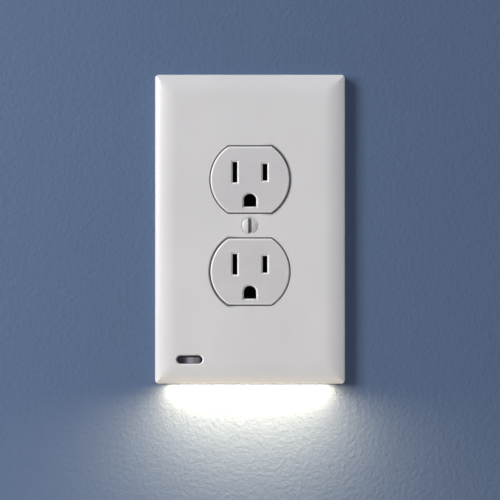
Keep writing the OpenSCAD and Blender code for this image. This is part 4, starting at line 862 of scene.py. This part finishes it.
# edge radius of each node's piece, in millimetres
edgeRadius = {
    "outlet_face": 0.10, "outlet_body": 0.14, "mounting_strap": 0.10,
    "hot_bus": 0.06, "neutral_bus": 0.06, "ground_clips": 0.05, "ground_rivets": 0.05,
    "hot_terminal_screws": 0.10, "neutral_terminal_screws": 0.10, "ground_terminal_screw": 0.10,
    "body_screws": 0.05, "mounting_screws": 0.08,
    "cover_plate": 0.10, "rear_cover": 0.08, "light_bar": 0.08,
    "led_packages": 0.05, "led_emitters": 0.04, "sensor_lens": 0.10, "light_sensor": 0.05,
    "circuit_board": 0.04, "driver_chip": 0.04, "bridge_rectifier": 0.04, "input_fuse": 0.08,
    "chip_capacitors": 0.08, "chip_resistors": 0.04, "switch_case": 0.05, "switch_knob": 0.06,
    "hot_wire": 0.0, "neutral_wire": 0.0, "hot_arm": 0.14, "neutral_arm": 0.14,
    "hot_contact": 0.05, "neutral_contact": 0.05, "cover_screw": 0.06,
}
extraShape = {"cover_plate": softenMitres, "cover_screw": threadCoverScrew,
              "mounting_screws": threadBoxScrews, "ground_terminal_screw": threadGroundScrew}
for node, width in edgeRadius.items():
    dress(node, width, extraShape.get(node))
print("pieces dressed:", len(edgeRadius))


# straight in front: distances in metres, lens and sensor in millimetres
view = {"distance": 1.0, "middle": (0.0, -0.0103), "lens": 170.5, "front": -0.007,
        "sensor": 36.0, "nearest": 0.01}
camera = bpy.data.objects.new("camera", bpy.data.cameras.new("camera"))
bpy.context.scene.collection.objects.link(camera)
camera.location = (view["middle"][0], view["front"] - view["distance"], view["middle"][1])
camera.rotation_euler = (math.pi / 2, 0, 0)
camera.data.lens = view["lens"]
camera.data.sensor_width = view["sensor"]
camera.data.clip_start = view["nearest"]
bpy.context.scene.camera = camera


def lamp(name, row, aim):
    light = bpy.data.lights.new(name, "AREA")
    light.shape = "RECTANGLE"
    light.size, light.size_y = row["size"]
    light.energy = row["power"]
    light.color = row["colour"]
    holder = bpy.data.objects.new(name, light)
    bpy.context.scene.collection.objects.link(holder)
    holder.location = row["at"]
    holder.rotation_euler = (Vector(aim) - Vector(row["at"])).to_track_quat("-Z", "Y").to_euler()
    return holder


lamps = {
    "keyLight": {"at": (-1.94, -1.57, 0.84), "size": (1.0, 1.8), "power": 82.5,
                 "colour": (1.0, 0.985, 0.985)},
    "backLight": {"at": (0.75, 1.10, 0.70), "size": (0.9, 0.9), "power": 20.0,
                  "colour": (1.0, 0.99, 0.98)},
    "sideLight": {"at": (1.30, -0.13, 0.20), "size": (0.5, 0.8), "power": 1.6,
                  "colour": (0.62, 0.80, 1.0)},
    "topLight": {"at": (-0.15, -0.13, 1.30), "size": (0.8, 0.5), "power": 2.4,
                 "colour": (0.72, 0.86, 1.0)},
}
lampAim = (0, 0, -0.005)
for name, row in lamps.items():
    lamp(name, row, lampAim)

# two lamps for the light bar's glow on the wall: one close to it, and one farther off for the
# wide, soft part
barLamps = {
    "barGlow": {"at": (-0.0005, -0.0041, -0.0671), "aim": (-0.0005, -0.0101, -0.2),
                "size": (0.068, 0.0056), "power": 0.155, "colour": (1.0, 0.645, 0.305)},
    "barSpill": {"at": (-0.0005, -0.0240, -0.0700), "aim": (-0.0005, -0.0300, -0.2),
                 "size": (0.078, 0.0060), "power": 0.140, "colour": (1.0, 0.69, 0.35)},
}
for name, row in barLamps.items():
    glow = lamp(name, row, row["aim"])
    glow.visible_camera = False
    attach(glow, "cover")


# the world lights the object at one level and is seen, also in gloss, at another
sky = {"ambient": 0.165, "shown": 0.82, "tint": (0.97, 0.985, 1.0)}
world = bpy.data.worlds.new("studio")
bpy.context.scene.world = world
world.use_nodes = True
wiring = Wiring(world.node_tree)
background = wiring.found("BACKGROUND")
seen = wiring.ray("Camera").most(wiring.ray("Glossy")).most(wiring.ray("Transmission"))
wiring.feed(background.inputs["Strength"], seen.spread(0.0, 1.0, sky["ambient"], sky["shown"]))
wiring.feed(background.inputs["Color"], sky["tint"])


# lets a look be seen through where an amount is 1
def openWhere(look, amount):
    clear = look.node("ShaderNodeBsdfTransparent")
    surface = Reading(look, look.shader.outputs[0])
    shown = look.node("ShaderNodeMixShader", {}, amount, surface, clear)
    look.feed(look.found("OUTPUT_MATERIAL").inputs["Surface"], shown)


# a large flat square of the staging, in place
def sheet(name, place, look, span=12.0):
    bm = bmesh.new()
    bmesh.ops.create_grid(bm, x_segments=1, y_segments=1, size=span / 2, matrix=place)
    mesh = bpy.data.meshes.new(name)
    bm.to_mesh(mesh)
    bm.free()
    mesh.materials.append(look.material)
    plane = bpy.data.objects.new(name, mesh)
    bpy.context.scene.collection.objects.link(plane)


# a floor that fades to a pale distance and isn't seen from below
floorFinish = {"height": -0.215, "colour": (0.45, 0.45, 0.445), "farColour": (0.03, 0.03, 0.03),
               "pale": (0.34, 0.34, 0.34), "farPale": (0.745, 0.745, 0.745), "fades": (0.5, 1.6),
               "rough": 0.9}
floorLook = Look("floorPaint")
away = radius(floorLook.axis(0), floorLook.axis(1)).step(*floorFinish["fades"])
paleness = floorLook.mix(away, floorFinish["pale"], floorFinish["farPale"])
floorLook.set(Base_Color=floorLook.mix(away, floorFinish["colour"], floorFinish["farColour"]),
              Roughness=floorFinish["rough"], Emission_Strength=1.0,
              Emission_Color=floorLook.mix(floorLook.ray("Camera"), (0, 0, 0), paleness))
openWhere(floorLook, floorLook.node("ShaderNodeNewGeometry", {"output": "Backfacing"}))
sheet("floor", Matrix.Translation((0, 0, floorFinish["height"])), floorLook)

# a painted wall just behind the plate's rim, with the prints of a roller. Painted shade makes it
# darker towards the right, and the light that it throws back is paler than its own colour.
wallFinish = {"behind": 0.0003, "rough": 0.8, "colour": (0.083, 0.133, 0.240),
              "deeper": (0.07968, 0.12768, 0.2304), "patches": 9.0,
              "shade": (-0.10, 0.12, 0.0, 0.19), "bounce": (0.105, 0.142, 0.235),
              "rollerScale": 520.0, "rollerDepth": 0.00044, "dropScale": 1300.0,
              "dropDepth": 0.00017, "bodyHole": (0.0162, 0.0345),
              "plateHole": (0.0402, 0.0654), "plateMiddle": -0.0015}
wallLook = Look("wallPaint")
x, z = wallLook.axis(0), wallLook.axis(2)
roller = wallLook.bump(wallLook.noise(wallFinish["rollerScale"], 4.0, 0.6),
                       wallFinish["rollerDepth"], 0.7)
drops = wallLook.bump(wallLook.noise(wallFinish["dropScale"], 2.0, 0.5),
                      wallFinish["dropDepth"], 0.5, roller)
paint = wallLook.mix(wallLook.noise(wallFinish["patches"], 3.0).step(0.3, 0.7),
                     wallFinish["colour"], wallFinish["deeper"])
paint = wallLook.mix(x.spread(*wallFinish["shade"]), paint, (0, 0, 0))
paint = wallLook.mix(wallLook.ray("Diffuse"), paint, wallFinish["bounce"])
wallLook.set(Base_Color=paint, Roughness=wallFinish["rough"], Normal=drops)

# the wall is seen only from the room and casts no shadow. It is open where the outlet's body
# passes through, and lets light but no view through behind the plate, so the back is lit too.
bodyHole = abs(x).below(wallFinish["bodyHole"][0]) * abs(z).below(wallFinish["bodyHole"][1])
plateHole = abs(x).below(wallFinish["plateHole"][0])
plateHole = plateHole * abs(z - wallFinish["plateMiddle"]).below(wallFinish["plateHole"][1])
gone = wallLook.node("ShaderNodeNewGeometry", {"output": "Backfacing"}).most(bodyHole)
gone = gone.most(plateHole * (1.0 - wallLook.ray("Camera"))).most(wallLook.ray("Shadow"))
openWhere(wallLook, gone)
upright = Matrix.Rotation(math.pi / 2, 4, "X")
sheet("wall", Matrix.Translation((0, wallFinish["behind"], 0)) @ upright, wallLook)
print("studio ready")

bpy.context.scene.view_settings.view_transform = "Standard"
